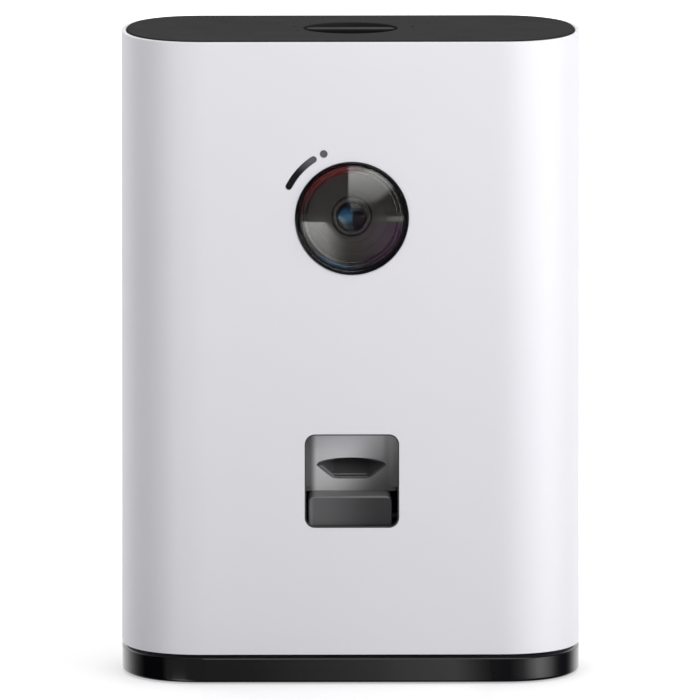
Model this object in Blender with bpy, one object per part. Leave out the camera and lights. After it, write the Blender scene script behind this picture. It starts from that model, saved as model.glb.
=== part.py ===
"""Treat tossing pet camera: an upright oval case with a camera dome, a treat store under a
twist-lock lid, and a treat drum that feeds a tossing paddle behind a square window.

Metres, +Z up, the front towards -Y. The origin is at the middle of the foot pad, on the floor.
"""

import math

import bmesh
import bpy
from mathutils import Vector

# Driving dimensions of the case
CASE_WIDTH = 0.170
CASE_DEPTH = 0.084
CASE_HEIGHT = 0.240
END_REACH = 0.031
SHELL_WALL = 0.0024
SEAM_HEIGHT = 0.011
FIT_GAP = 0.0003
OVERRUN = 0.004
ROUND_SHARE = 2.3
ARC_MIDDLE_SHARE = 0.29
SHARP_ANGLE = math.radians(35)

# Facets on round shapes
END_STEPS = 12
CORNER_STEPS = 4
SMALL_ROUND, BODY_ROUND, DOME_ROUND, WIDE_ROUND = 16, 24, 36, 48

# Outer shell
RIM_WALL = 0.0017
RIM_ROUND = 0.0006
RIM_DEPTH = 0.005
LENS_DROP = 0.066
LENS_RADIUS = 0.021
WINDOW_SIDE = 0.035
WINDOW_CORNER = 0.0038
WINDOW_BOTTOM = 0.0582
SIGN_SPACE = 0.0052
SIGN_WIDTH = 0.0023
SIGN_START, SIGN_END = math.radians(123), math.radians(153)
SENSOR_TURN = math.radians(113.5)
SENSOR_RADIUS = 0.00138
SPEAKER_INSET, SPEAKER_HEIGHT = 0.045, 0.046
SPEAKER_RADIUS = 0.014
SLOT_COUNT = 5
SLOT_PITCH = 0.0045
SLOT_WIDTH = 0.0016
SLOT_CORNER = 0.00072

# Base cover and foot pad
BASE_LIFT = 0.0005
BASE_FLOOR = 0.0024
BASE_ROUND = 0.0012
BASE_BEVEL = 0.0013
BASE_WALL = 0.0018
TONGUE_RISE = 0.003
PAD_INSET = 0.0045
PAD_THICKNESS = 0.0013
PAD_RECESS = 0.0011
BOSS_RADIUS = 0.0042
BOSS_HEIGHT = 0.0031
SCREW_INSET_X, SCREW_INSET_Y = 0.027, 0.018
SCREW_HEAD_RADIUS, SCREW_HEAD_HEIGHT = 0.0026, 0.0015
SCREW_RADIUS, SCREW_LENGTH = 0.0012, 0.0085
SCREW_GAP = 0.0004

# Inner frame
FLOOR_PLATE = 0.002
CHEEK_WALL = 0.0022
CHEEK_HEIGHT = 0.116
CHEEK_FRONT_RISE = 0.0028
CHEEK_STEP_REACH = 0.018
CHEEK_BACK_SPACE = 0.0056
FRAME_BOSS_RADIUS, FRAME_BOSS_HEIGHT = 0.0036, 0.006

# Chute liner and its mouth
LINER_WALL = 0.0012
LINER_DEPTH = 0.0173
LINER_CORNER = 0.004
LINER_LIFT = 0.013
MOUTH_SIDE_SPACE = 0.00485
MOUTH_TIP_REACH = 0.00605
MOUTH_LIFT, MOUTH_LOWER_HEIGHT, MOUTH_ARCH_HEIGHT = 0.0165, 0.0048, 0.0024
DUCT_DROP = 0.0123
ARCH_STEPS = 8

# Tossing paddle and its drive
PADDLE_LEFT_SPACE, PADDLE_RIGHT_SPACE = 0.0014, 0.0026
PADDLE_RISE = 0.008
PADDLE_CORNER = 0.0025
PADDLE_AXIS_DEPTH, PADDLE_AXIS_LIFT = 0.0062, 0.0038
PADDLE_FRONT_REACH = 0.0034
PADDLE_HEEL = 0.0034
PADDLE_BACK_REACH = 0.0129
PADDLE_BACK_DROP = 0.005
PADDLE_EDGE = 0.0007
SHAFT_RADIUS = 0.0015
BUSH_RADIUS = 0.0029
BUSH_FLANGE_RADIUS, BUSH_FLANGE = 0.0034, 0.0008
BUSH_ROUND = 12
GEAR_MODULE = 0.0008
GEAR_TEETH, PINION_TEETH = 48, 12
GEAR_WIDTH = 0.0034
GEAR_HUB_RADIUS = 0.0032
BACKLASH = 0.00016
PRESSURE_TURN = math.radians(25)
ADDENDUM_SHARE, DEDENDUM_SHARE = 0.8, 1.15
FLANK_STEPS = 2
SECTOR_START, SECTOR_END = math.radians(-92), math.radians(-22)
TOSS_PINION_TURN = math.radians(-35)
MOTOR_RADIUS, MOTOR_LENGTH = 0.006, 0.023
MOTOR_SHAFT_RADIUS = 0.0015
MOTOR_NOSE_RADIUS, MOTOR_NOSE = 0.0024, 0.0016

# Treat drum and its housing
DRUM_BACK_SPACE = 0.018
DRUM_RADIUS = 0.0132
DRUM_SIDE_GAP = 0.0024
DRUM_GAP = 0.0005
POCKET_RADIUS = 0.0056
POCKET_COUNT = 4
POCKET_STEPS = 6
RIDGE_STEPS = 4
HOUSING_WALL = 0.0018
HOUSING_ROOF = 0.003
DRUM_INLET_EDGE, DRUM_INLET_HALF_Y = 0.0017, 0.0095
DRUM_PINION_TURN = math.radians(-90)

# Hopper
HOPPER_WALL = 0.0018
HOPPER_SIDE_GAP = 0.0025
HOPPER_RIM_DROP = 0.0003
HOPPER_SLOPE_RISE, HOPPER_SLOPE_HEIGHT = 0.016, 0.026
HOPPER_FRONT_DEPTH = 0.0336
HOPPER_SIDE_DRAW = 0.019
HOPPER_LOW_REACH, THROAT_REACH = 0.018, 0.004
FUNNEL_SHARE, NECK_HEIGHT = 23 / 34, 0.006
COLLAR_WALL, COLLAR_RISE, COLLAR_DROP = 0.0012, 0.005, 0.002
THROAT_FLANGE, THROAT_FLANGE_WIDTH = 0.002, 0.0065
KEEPER_HALF_WIDTH, KEEPER_REACH, KEEPER_THICKNESS = 0.009, 0.0075, 0.0025
KEEPER_DROP = 0.018

# Lid and its lock
LID_GAP = 0.0003
LID_PLATE = 0.0026
LID_EDGE_ROUND = 0.0005
LID_SKIRT = 0.0018
WELL_RADIUS = 0.01745
WELL_WALL = 0.0018
WELL_DEPTH = 0.010
WELL_FLOOR = 0.0018
PLUG_INSET, PLUG_WALL, PLUG_FLOOR = 0.0092, 0.0016, 0.002
PLUG_DROP = 0.0165
PLUG_LIP, PLUG_LIP_INSET = 0.0028, 0.0076
SEAL_HEIGHT, SEAL_SHOULDER_INSET = 0.004, 0.0076
SEAL_OUTER_INSET = 0.0070
KNOB_SHAFT_RADIUS = 0.0037
KNOB_DISC = 0.0018
GRIP_WIDTH = 0.0066
GRIP_DROP = 0.0008
GRIP_END_GAP = 0.0007
GRIP_ROUND = 0.0012
CAM_TIP_GAP, CAM_WIDTH, CAM_THICKNESS = 0.0008, 0.008, 0.0032
CAM_CORNER = 0.0026
CAM_HUB_RADIUS = 0.0072
CAM_SCREW_HEAD_RADIUS, CAM_SCREW_HEAD = 0.005, 0.0018
CAM_SCREW_RADIUS, CAM_SCREW_LENGTH = 0.0015, 0.012

# Camera
BEZEL_WIDTH = 0.0014
BEZEL_PROUD = 0.0006
DOME_BULGE = 0.005
DOME_WALL = 0.0012
DOME_STEPS, GLASS_STEPS = 5, 4
CAMERA_FLANGE_EDGE, CAMERA_FLANGE = 0.0026, 0.0016
CAMERA_CUP_EDGE, CAMERA_CUP_WALL, CAMERA_CUP_DEPTH = 0.0008, 0.0014, 0.015
BAFFLE_EDGE, BAFFLE_HOLE_RADIUS = 0.002, 0.0075
BAFFLE_DEPTH, BAFFLE_WALL = 0.0048, 0.0012
BARREL_RADIUS, BARREL_BORE, BARREL_LENGTH = 0.0070, 0.0056, 0.012
GLASS_RADIUS, GLASS_BULGE, GLASS_THICKNESS = 0.0053, 0.0012, 0.0026
BOARD_THICKNESS = 0.0016
CAMERA_BOARD_HALF, CAMERA_BOARD_CORNER = 0.0125, 0.0019
LAMP_RADIUS, LAMP_LENGTH, LAMP_X = 0.0015, 0.0045, 0.0125

# Front signs
SIGN_FLANGE, SIGN_FLANGE_THICKNESS = 0.0007, 0.0009
SIGN_STEPS = 8
SENSOR_FLANGE_RADIUS = 0.0022
SIGN_BOARD_HALF_ANGLE = math.radians(8)
SIGN_BOARD_WIDTH = 0.0042

# Boards, inlet, button and speaker
MAIN_BOARD_FRONT_SPACE, MAIN_BOARD_BACK_SPACE = 0.0156, 0.0136
MAIN_BOARD_LIFT, MAIN_BOARD_DROP, MAIN_BOARD_CORNER = 0.0137, 0.007, 0.0038
CHIP_SIDE, CHIP_HEIGHT = 0.012, 0.0016
REAR_BOARD_LEFT, REAR_BOARD_EDGE, REAR_BOARD_RISE = 0.010, 0.0045, 0.007
REAR_POST_DEPTH, REAR_POST_THICKNESS = 0.012, 0.0022
INLET_HEIGHT = 0.020
INLET_HALF_WIDTH, INLET_HALF_HEIGHT = 0.0057, 0.0028
INLET_BODY_HALF_WIDTH, INLET_BODY_HALF_HEIGHT = 0.0068, 0.0044
INLET_SOCKET_HALF_WIDTH, INLET_SOCKET_HALF_HEIGHT, INLET_SOCKET_DEPTH = 0.0044, 0.0015, 0.0055
INLET_RECESS = 0.0004
BUTTON_X = 0.0125
BUTTON_RADIUS, BUTTON_FLANGE_RADIUS, BUTTON_FLANGE = 0.0021, 0.0033, 0.0012
BUTTON_TRAVEL = 0.0006
BUTTON_RECESS = 0.0003
SWITCH_HALF = 0.003
SPEAKER_DEPTH, SPEAKER_STEP, MAGNET_RADIUS = 0.0045, 0.0075, 0.008

# Places worked out from the sizes above
FRONT_Y = -CASE_DEPTH / 2
FRONT_INSIDE_Y = FRONT_Y + SHELL_WALL
BACK_INSIDE_Y = -FRONT_INSIDE_Y
RIM_LEDGE = CASE_HEIGHT - RIM_DEPTH
LENS_HEIGHT = CASE_HEIGHT - LENS_DROP
SIGN_RADIUS = LENS_RADIUS + SIGN_SPACE
SPEAKER_X = SPEAKER_INSET - CASE_WIDTH / 2
SCREW_X, SCREW_Y = CASE_WIDTH / 2 - SCREW_INSET_X, CASE_DEPTH / 2 - SCREW_INSET_Y
BASE_TOP = SEAM_HEIGHT - FIT_GAP
BASE_INSIDE = BASE_LIFT + BASE_FLOOR
BOSS_TOP = BASE_INSIDE + BOSS_HEIGHT
FRAME_BOTTOM = BOSS_TOP + FIT_GAP
FRAME_FLOOR = FRAME_BOTTOM + FLOOR_PLATE
TONGUE_INSET = SHELL_WALL + FIT_GAP
FRAME_INSET = TONGUE_INSET + BASE_WALL + FIT_GAP
CHEEK_INSIDE_X = WINDOW_SIDE / 2 + LINER_WALL + FIT_GAP
CHEEK_OUTSIDE_X = CHEEK_INSIDE_X + CHEEK_WALL
CHEEK_BACK_Y = BACK_INSIDE_Y - CHEEK_BACK_SPACE
BORE_RADIUS = DRUM_RADIUS + DRUM_GAP
DRUM_Y = CHEEK_BACK_Y - DRUM_BACK_SPACE
DRUM_Z = CHEEK_HEIGHT - FIT_GAP - HOUSING_ROOF - BORE_RADIUS
CHEEK_STEP_Y = DRUM_Y - CHEEK_STEP_REACH
DRUM_HALF_WIDTH = CHEEK_INSIDE_X - FIT_GAP - HOUSING_WALL - DRUM_SIDE_GAP
DRUM_INLET_HALF_X = DRUM_HALF_WIDTH - DRUM_INLET_EDGE
PADDLE_AXIS_Y = FRONT_Y + PADDLE_AXIS_DEPTH
PADDLE_AXIS_Z = WINDOW_BOTTOM + PADDLE_AXIS_LIFT
PADDLE_TOP = PADDLE_AXIS_Z + PADDLE_RISE
GEAR_X = CHEEK_OUTSIDE_X + BUSH_FLANGE + FIT_GAP
GEAR_PITCH_RADIUS = GEAR_MODULE * GEAR_TEETH / 2
PINION_PITCH_RADIUS = GEAR_MODULE * PINION_TEETH / 2
GEAR_CENTRES = GEAR_PITCH_RADIUS + PINION_PITCH_RADIUS
TOSS_PINION_Y = PADDLE_AXIS_Y + GEAR_CENTRES * math.cos(TOSS_PINION_TURN)
TOSS_PINION_Z = PADDLE_AXIS_Z + GEAR_CENTRES * math.sin(TOSS_PINION_TURN)
DRUM_PINION_Y = DRUM_Y + GEAR_CENTRES * math.cos(DRUM_PINION_TURN)
DRUM_PINION_Z = DRUM_Z + GEAR_CENTRES * math.sin(DRUM_PINION_TURN)
LINER_FRONT_Y = FRONT_INSIDE_Y + FIT_GAP
LINER_BACK_Y = LINER_FRONT_Y + LINER_DEPTH
WINDOW_TOP = WINDOW_BOTTOM + WINDOW_SIDE
CHEEK_FRONT_HEIGHT = WINDOW_TOP + CHEEK_FRONT_RISE
LINER_BOTTOM = WINDOW_BOTTOM + LINER_LIFT
MOUTH_HALF_WIDTH = WINDOW_SIDE / 2 - MOUTH_SIDE_SPACE
MOUTH_FLAT_HALF = MOUTH_HALF_WIDTH - MOUTH_TIP_REACH
MOUTH_BOTTOM = WINDOW_BOTTOM + MOUTH_LIFT
MOUTH_TIP = MOUTH_BOTTOM + MOUTH_LOWER_HEIGHT
MOUTH_TOP = MOUTH_TIP + MOUTH_ARCH_HEIGHT
MOUTH_RISE = DRUM_Z - DUCT_DROP - MOUTH_BOTTOM
HOUSING_HALF = BORE_RADIUS + HOUSING_WALL
HOUSING_LEFT_X = -CHEEK_INSIDE_X + FIT_GAP
HOUSING_RIGHT_X = CHEEK_INSIDE_X - HOUSING_WALL - 2 * FIT_GAP
HOUSING_TOP = CHEEK_HEIGHT - FIT_GAP
LID_INSET = RIM_WALL + LID_GAP
LID_BOTTOM = RIM_LEDGE + FIT_GAP
WELL_TOP_OF_FLOOR = CASE_HEIGHT - WELL_DEPTH
KNOB_BOTTOM = WELL_TOP_OF_FLOOR + FIT_GAP
PLUG_BOTTOM = CASE_HEIGHT - PLUG_DROP
KEEPER_TOP = CASE_HEIGHT - KEEPER_DROP
HOPPER_BACK_Y = BACK_INSIDE_Y - HOPPER_SIDE_GAP
HOPPER_FRONT_Y = FRONT_INSIDE_Y + HOPPER_FRONT_DEPTH
HOPPER_SLOPE_END = LENS_HEIGHT + HOPPER_SLOPE_RISE
HOPPER_SLOPE_TOP = HOPPER_SLOPE_END + HOPPER_SLOPE_HEIGHT
FUNNEL_END = CHEEK_HEIGHT + NECK_HEIGHT
FUNNEL_TOP = FUNNEL_END + FUNNEL_SHARE * (HOPPER_SLOPE_END - FUNNEL_END)
CAM_TIP_REACH = HOPPER_BACK_Y - HOPPER_WALL - CAM_TIP_GAP
CAM_BOTTOM = KEEPER_TOP - KEEPER_THICKNESS - FIT_GAP - CAM_THICKNESS
BEZEL_RADIUS = LENS_RADIUS
DOME_RADIUS = LENS_RADIUS - BEZEL_WIDTH - FIT_GAP
DOME_FRONT_Y = FRONT_Y + BEZEL_PROUD
CAMERA_FLANGE_RADIUS = LENS_RADIUS + CAMERA_FLANGE_EDGE
CAMERA_CUP_RADIUS = LENS_RADIUS + CAMERA_CUP_EDGE
BAFFLE_FRONT_RADIUS = LENS_RADIUS - BAFFLE_EDGE
REAR_BOARD_X0, REAR_BOARD_X1 = -REAR_BOARD_LEFT, BUTTON_X + REAR_BOARD_EDGE
REAR_BOARD_TOP = INLET_HEIGHT + REAR_BOARD_RISE
REAR_POST_Y = BACK_INSIDE_Y - REAR_POST_DEPTH

FINISHES = {}


def finish(name, colour, roughness, metallic=0, alpha=1):
    """One shared material, made the first time that it is asked for."""
    if name not in FINISHES:
        material = bpy.data.materials.new(name)
        material.use_nodes = True
        shader = material.node_tree.nodes["Principled BSDF"]
        shader.inputs["Base Color"].default_value = (*colour, 1)
        shader.inputs["Roughness"].default_value = roughness
        shader.inputs["Metallic"].default_value = metallic
        shader.inputs["Alpha"].default_value = alpha
        FINISHES[name] = material
    return FINISHES[name]


def white_plastic():
    return finish("white_plastic", (0.80, 0.80, 0.82), 0.35)


def black_gloss():
    return finish("black_gloss", (0.012, 0.012, 0.013), 0.12)


def black_satin():
    return finish("black_satin", (0.045, 0.045, 0.046), 0.42)


def black_matte():
    return finish("black_matte", (0.010, 0.010, 0.011), 0.6)


def grey_liner():
    return finish("grey_liner", (0.30, 0.30, 0.31), 0.45)


def paddle_grey():
    return finish("paddle_grey", (0.085, 0.085, 0.087), 0.4)


def frame_plastic():
    return finish("frame_plastic", (0.05, 0.05, 0.055), 0.55)


def clear_plastic():
    return finish("clear_plastic", (0.72, 0.74, 0.75), 0.15, alpha=0.4)


def gear_plastic():
    return finish("gear_plastic", (0.78, 0.76, 0.70), 0.4)


def steel():
    return finish("steel", (0.60, 0.60, 0.62), 0.3, metallic=1)


def bearing_bronze():
    return finish("bearing_bronze", (0.55, 0.38, 0.18), 0.35, metallic=1)


def board_green():
    return finish("board_green", (0.02, 0.12, 0.05), 0.5)


def soft_rubber():
    return finish("soft_rubber", (0.03, 0.03, 0.032), 0.8)


def lens_clear():
    return finish("lens_clear", (0.03, 0.03, 0.035), 0.03, alpha=0.35)


def loft(rings, loop=False):
    """A closed mesh through rings of equal counts, capped at both ends or joined into a loop."""
    mesh = bmesh.new()
    rows = [[mesh.verts.new(point) for point in ring] for ring in rings]
    pairs = list(zip(rows, rows[1:]))
    if loop:
        pairs.append((rows[-1], rows[0]))
    else:
        mesh.faces.new(rows[0][::-1])
        mesh.faces.new(rows[-1])
    for low, high in pairs:
        for i, corner in enumerate(low):
            j = (i + 1) % len(low)
            mesh.faces.new((corner, low[j], high[j], high[i]))
    bmesh.ops.recalc_face_normals(mesh, faces=mesh.faces)
    return mesh


def oval(half_x, half_y, reach, level, middle_y=0.0):
    """A level ring with straight front and back and rounded ends, seen from above."""
    points = []
    power = 2 / ROUND_SHARE
    for side in (1, -1):
        for step in range(END_STEPS + 1):
            turn = math.pi * step / END_STEPS - math.pi / 2
            x = half_x - reach + reach * max(math.cos(turn), 0) ** power
            y = half_y * math.copysign(abs(math.sin(turn)) ** power, math.sin(turn))
            points.append((side * x, side * y + middle_y, level))
    return points


def case_ring(inset, level):
    """The case's outline drawn in by an inset."""
    return oval(CASE_WIDTH / 2 - inset, CASE_DEPTH / 2 - inset, END_REACH - inset, level)


def rectangle(a0, a1, b0, b1, corner=0.0):
    """A flat outline, with round corners where a corner radius is given."""
    if not corner:
        return [(a0, b0), (a1, b0), (a1, b1), (a0, b1)]
    middles = (
        (a1 - corner, b0 + corner, -math.pi / 2),
        (a1 - corner, b1 - corner, 0),
        (a0 + corner, b1 - corner, math.pi / 2),
        (a0 + corner, b0 + corner, math.pi),
    )
    points = []
    for a, b, start in middles:
        for step in range(CORNER_STEPS + 1):
            turn = start + math.pi / 2 * step / CORNER_STEPS
            points.append((a + corner * math.cos(turn), b + corner * math.sin(turn)))
    return points


def placed(axis, a, b, along):
    """A point of a flat outline that stands square to an axis."""
    return {"X": (along, a, b), "Y": (a, along, b), "Z": (a, b, along)}[axis]


def prism(outline, axis, start, end):
    return loft([[placed(axis, a, b, along) for a, b in outline] for along in (start, end)])


def circle(axis, centre, radius, along, count):
    """A ring of points around a line through centre, at a distance along the axis."""
    a, b = centre
    turns = [2 * math.pi * i / count for i in range(count)]
    return [placed(axis, a + radius * math.cos(t), b + radius * math.sin(t), along) for t in turns]


def turned(axis, centre, profile, count=SMALL_ROUND, loop=False):
    """A turned solid from (radius, along) pairs; a loop of pairs leaves a bore."""
    return loft([circle(axis, centre, radius, along, count) for radius, along in profile], loop)


def piece(name, mesh, material, origin=(0, 0, 0), carrier=None):
    """One named solid with its origin at a chosen point, or on its carrier's."""
    origin = Vector(origin if carrier is None else carrier.location)
    bmesh.ops.translate(mesh, verts=mesh.verts, vec=-origin)
    data = bpy.data.meshes.new(name)
    mesh.to_mesh(data)
    mesh.free()
    data.materials.append(material)
    data.shade_smooth()
    data.set_sharp_from_angle(angle=SHARP_ANGLE)
    thing = bpy.data.objects.new(name, data)
    bpy.context.scene.collection.objects.link(thing)
    if carrier is None:
        thing.location = origin
    else:
        thing.parent = carrier
    return thing


def pivot(name, place):
    """An empty on a joint's axis, which carries the pieces that move there."""
    empty = bpy.data.objects.new(name, None)
    empty.location = place
    bpy.context.scene.collection.objects.link(empty)
    return empty


def shape_with(thing, operation, mesh, label):
    """Cuts or joins a helper solid, which stays hidden."""
    data = bpy.data.meshes.new(label)
    mesh.to_mesh(data)
    mesh.free()
    helper = bpy.data.objects.new(label, data)
    helper.hide_render = True
    helper.display_type = "WIRE"
    bpy.context.scene.collection.objects.link(helper)
    change = thing.modifiers.new(label, "BOOLEAN")
    change.operation = operation
    change.solver = "EXACT"
    change.object = helper


def cut(thing, mesh, label):
    shape_with(thing, "DIFFERENCE", mesh, f"{thing.name}_{label}_cutter")


def join(thing, mesh, label):
    shape_with(thing, "UNION", mesh, f"{thing.name}_{label}_joined")


def arc_slot(width, start, end, front, back):
    """A curved bar with round ends around the lens axis."""
    outline = []
    half = width / 2
    for side, turns in ((1, (start, end)), (-1, (end, start))):
        for step in range(SIGN_STEPS + 1):
            turn = turns[0] + (turns[1] - turns[0]) * step / SIGN_STEPS
            radius = SIGN_RADIUS + side * half
            outline.append((radius * math.cos(turn), LENS_HEIGHT + radius * math.sin(turn)))
        tip = turns[1]
        middle = (SIGN_RADIUS * math.cos(tip), LENS_HEIGHT + SIGN_RADIUS * math.sin(tip))
        for step in range(1, CORNER_STEPS):
            turn = tip + (0 if side > 0 else math.pi) + math.pi * step / CORNER_STEPS
            outline.append((middle[0] + half * math.cos(turn), middle[1] + half * math.sin(turn)))
    return prism(outline, "Y", front, back)


def gear_outline(centre, teeth, tooth_turn, first=0, count=None):
    """Involute teeth round a centre. tooth_turn is the direction of the first whole tooth."""
    pitch = GEAR_MODULE * teeth / 2
    base = pitch * math.cos(PRESSURE_TURN)
    tip = pitch + GEAR_MODULE * ADDENDUM_SHARE
    root = pitch - GEAR_MODULE * DEDENDUM_SHARE
    half_tooth = math.pi / (2 * teeth) - BACKLASH / (2 * pitch)

    def involute(radius):
        lean = math.acos(min(base / radius, 1))
        return math.tan(lean) - lean

    spread = half_tooth + involute(pitch)
    radii = [root] + [
        max(base, root) + (tip - max(base, root)) * i / FLANK_STEPS for i in range(FLANK_STEPS + 1)
    ]
    outline = []
    for tooth in range(first, first + (teeth if count is None else count)):
        middle = tooth_turn + 2 * math.pi * tooth / teeth
        flank = [(radius, spread - involute(radius)) for radius in radii]
        for radius, half in flank:
            outline.append((radius, middle - half))
        for radius, half in reversed(flank):
            outline.append((radius, middle + half))
    return [(centre[0] + r * math.cos(t), centre[1] + r * math.sin(t)) for r, t in outline]


def clear_scene():
    for thing in list(bpy.data.objects):
        bpy.data.objects.remove(thing)


def make_shell():
    shell = piece(
        "outer_shell",
        loft(
            [
                case_ring(0, SEAM_HEIGHT),
                case_ring(0, CASE_HEIGHT - RIM_ROUND),
                case_ring(RIM_ROUND / 2, CASE_HEIGHT),
                case_ring(RIM_WALL, CASE_HEIGHT),
                case_ring(RIM_WALL, RIM_LEDGE),
                case_ring(SHELL_WALL, RIM_LEDGE),
                case_ring(SHELL_WALL, SEAM_HEIGHT),
            ],
            loop=True,
        ),
        white_plastic(),
    )
    front, behind = FRONT_Y - OVERRUN, FRONT_INSIDE_Y + OVERRUN
    lens_hole = LENS_RADIUS + FIT_GAP
    lens_bore = [(lens_hole, front), (lens_hole, behind)]
    cut(shell, turned("Y", (0, LENS_HEIGHT), lens_bore, WIDE_ROUND), "lens")
    half = WINDOW_SIDE / 2
    window = rectangle(-half, half, WINDOW_BOTTOM, WINDOW_TOP, WINDOW_CORNER)
    cut(shell, prism(window, "Y", front, behind), "window")
    slot_width = SIGN_WIDTH + 2 * FIT_GAP
    cut(shell, arc_slot(slot_width, SIGN_START, SIGN_END, front, behind), "sign")
    sensor = SENSOR_RADIUS + FIT_GAP
    cut(shell, turned("Y", sensor_place(), [(sensor, front), (sensor, behind)]), "sensor")
    inside, back = BACK_INSIDE_Y - OVERRUN, CASE_DEPTH / 2 + OVERRUN
    inlet = rectangle(
        -INLET_HALF_WIDTH - FIT_GAP,
        INLET_HALF_WIDTH + FIT_GAP,
        INLET_HEIGHT - INLET_HALF_HEIGHT - FIT_GAP,
        INLET_HEIGHT + INLET_HALF_HEIGHT + FIT_GAP,
        INLET_HALF_HEIGHT,
    )
    cut(shell, prism(inlet, "Y", inside, back), "inlet")
    button = BUTTON_RADIUS + FIT_GAP
    cut(shell, turned("Y", (BUTTON_X, INLET_HEIGHT), [(button, inside), (button, back)]), "button")
    for row in range(SLOT_COUNT):
        offset = (row - (SLOT_COUNT - 1) / 2) * SLOT_PITCH
        reach = math.sqrt((SPEAKER_RADIUS - SLOT_WIDTH) ** 2 - offset**2)
        level = SPEAKER_HEIGHT + offset
        slot = rectangle(
            SPEAKER_X - reach,
            SPEAKER_X + reach,
            level - SLOT_WIDTH / 2,
            level + SLOT_WIDTH / 2,
            SLOT_CORNER,
        )
        cut(shell, prism(slot, "Y", inside, back), f"speaker_{row + 1}")


def sensor_place():
    x = SIGN_RADIUS * math.cos(SENSOR_TURN)
    return x, LENS_HEIGHT + SIGN_RADIUS * math.sin(SENSOR_TURN)


def screw_places():
    return [(x, y) for x in (-SCREW_X, SCREW_X) for y in (-SCREW_Y, SCREW_Y)]


def make_base():
    ease = BASE_ROUND * ARC_MIDDLE_SHARE
    base = piece(
        "base_cover",
        loft(
            [
                case_ring(BASE_ROUND, BASE_LIFT),
                case_ring(ease, BASE_LIFT + ease),
                case_ring(0, BASE_LIFT + BASE_ROUND),
                case_ring(0, BASE_TOP - BASE_BEVEL),
                case_ring(BASE_BEVEL, BASE_TOP),
                case_ring(TONGUE_INSET, BASE_TOP),
                case_ring(TONGUE_INSET, BASE_TOP + TONGUE_RISE),
                case_ring(TONGUE_INSET + BASE_WALL, BASE_TOP + TONGUE_RISE),
                case_ring(TONGUE_INSET + BASE_WALL, BASE_INSIDE),
            ]
        ),
        black_gloss(),
    )
    recess = PAD_INSET - FIT_GAP
    pad_top = BASE_LIFT + PAD_RECESS
    rings = [case_ring(recess, BASE_LIFT - OVERRUN), case_ring(recess, pad_top)]
    cut(base, loft(rings), "pad_recess")
    head_top = pad_top + SCREW_GAP + SCREW_HEAD_HEIGHT + FIT_GAP
    for number, place in enumerate(screw_places(), 1):
        boss = [(BOSS_RADIUS, BASE_INSIDE - BASE_FLOOR / 2), (BOSS_RADIUS, BOSS_TOP)]
        join(base, turned("Z", place, boss), f"boss_{number}")
        head, hole = SCREW_HEAD_RADIUS + FIT_GAP, SCREW_RADIUS + FIT_GAP
        bore = [(head, BASE_LIFT), (head, head_top), (hole, head_top), (hole, BOSS_TOP + OVERRUN)]
        cut(base, turned("Z", place, bore), f"screw_{number}")
        low = pad_top + SCREW_GAP
        high = low + SCREW_HEAD_HEIGHT
        screw = [
            (SCREW_HEAD_RADIUS, low),
            (SCREW_HEAD_RADIUS, high),
            (SCREW_RADIUS, high),
            (SCREW_RADIUS, high + SCREW_LENGTH),
        ]
        piece(f"base_screw_{number}", turned("Z", place, screw), steel())
    pad = [case_ring(PAD_INSET, 0), case_ring(PAD_INSET, PAD_THICKNESS)]
    piece("foot_pad", loft(pad), soft_rubber())


def make_frame():
    frame = piece(
        "inner_frame",
        loft([case_ring(FRAME_INSET, FRAME_BOTTOM), case_ring(FRAME_INSET, FRAME_FLOOR)]),
        frame_plastic(),
    )
    sunk = FRAME_FLOOR - FLOOR_PLATE / 2
    front = FRONT_INSIDE_Y + 2 * FIT_GAP
    foot_front = FRONT_Y + FRAME_INSET
    tongue_top = BASE_TOP + TONGUE_RISE + FIT_GAP
    cheek = [
        (front, tongue_top),
        (foot_front, tongue_top),
        (foot_front, sunk),
        (CHEEK_BACK_Y, sunk),
        (CHEEK_BACK_Y, CHEEK_HEIGHT),
        (CHEEK_STEP_Y, CHEEK_HEIGHT),
        (CHEEK_STEP_Y, CHEEK_FRONT_HEIGHT),
        (front, CHEEK_FRONT_HEIGHT),
    ]
    shafts = (("paddle", (PADDLE_AXIS_Y, PADDLE_AXIS_Z)), ("drum", (DRUM_Y, DRUM_Z)))
    for side, side_name in ((-1, "left"), (1, "right")):
        ends = sorted((side * CHEEK_INSIDE_X, side * CHEEK_OUTSIDE_X))
        join(frame, prism(cheek, "X", *ends), f"{side_name}_cheek")
        bush = BUSH_RADIUS + FIT_GAP
        span = (ends[0] - OVERRUN, ends[1] + OVERRUN)
        for shaft_name, place in shafts:
            hole = turned("X", place, [(bush, along) for along in span])
            cut(frame, hole, f"{side_name}_{shaft_name}_bush")
    span = (CHEEK_INSIDE_X - OVERRUN, CHEEK_OUTSIDE_X + OVERRUN)
    nose = MOTOR_NOSE_RADIUS + FIT_GAP
    motors = (
        ("toss", (TOSS_PINION_Y, TOSS_PINION_Z)),
        ("drum", (DRUM_PINION_Y, DRUM_PINION_Z)),
    )
    for motor_name, place in motors:
        hole = turned("X", place, [(nose, along) for along in span])
        cut(frame, hole, f"{motor_name}_motor_nose")
    post = rectangle(REAR_BOARD_X0, REAR_BOARD_X1, sunk, REAR_BOARD_TOP)
    join(frame, prism(post, "Y", REAR_POST_Y, REAR_POST_Y + REAR_POST_THICKNESS), "rear_post")
    for number, place in enumerate(screw_places(), 1):
        top = FRAME_FLOOR + FRAME_BOSS_HEIGHT
        boss = [(FRAME_BOSS_RADIUS, sunk), (FRAME_BOSS_RADIUS, top)]
        join(frame, turned("Z", place, boss), f"boss_{number}")
        hole = SCREW_RADIUS + FIT_GAP
        bore = [(hole, FRAME_BOTTOM - OVERRUN), (hole, top + OVERRUN)]
        cut(frame, turned("Z", place, bore), f"screw_{number}")


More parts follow.
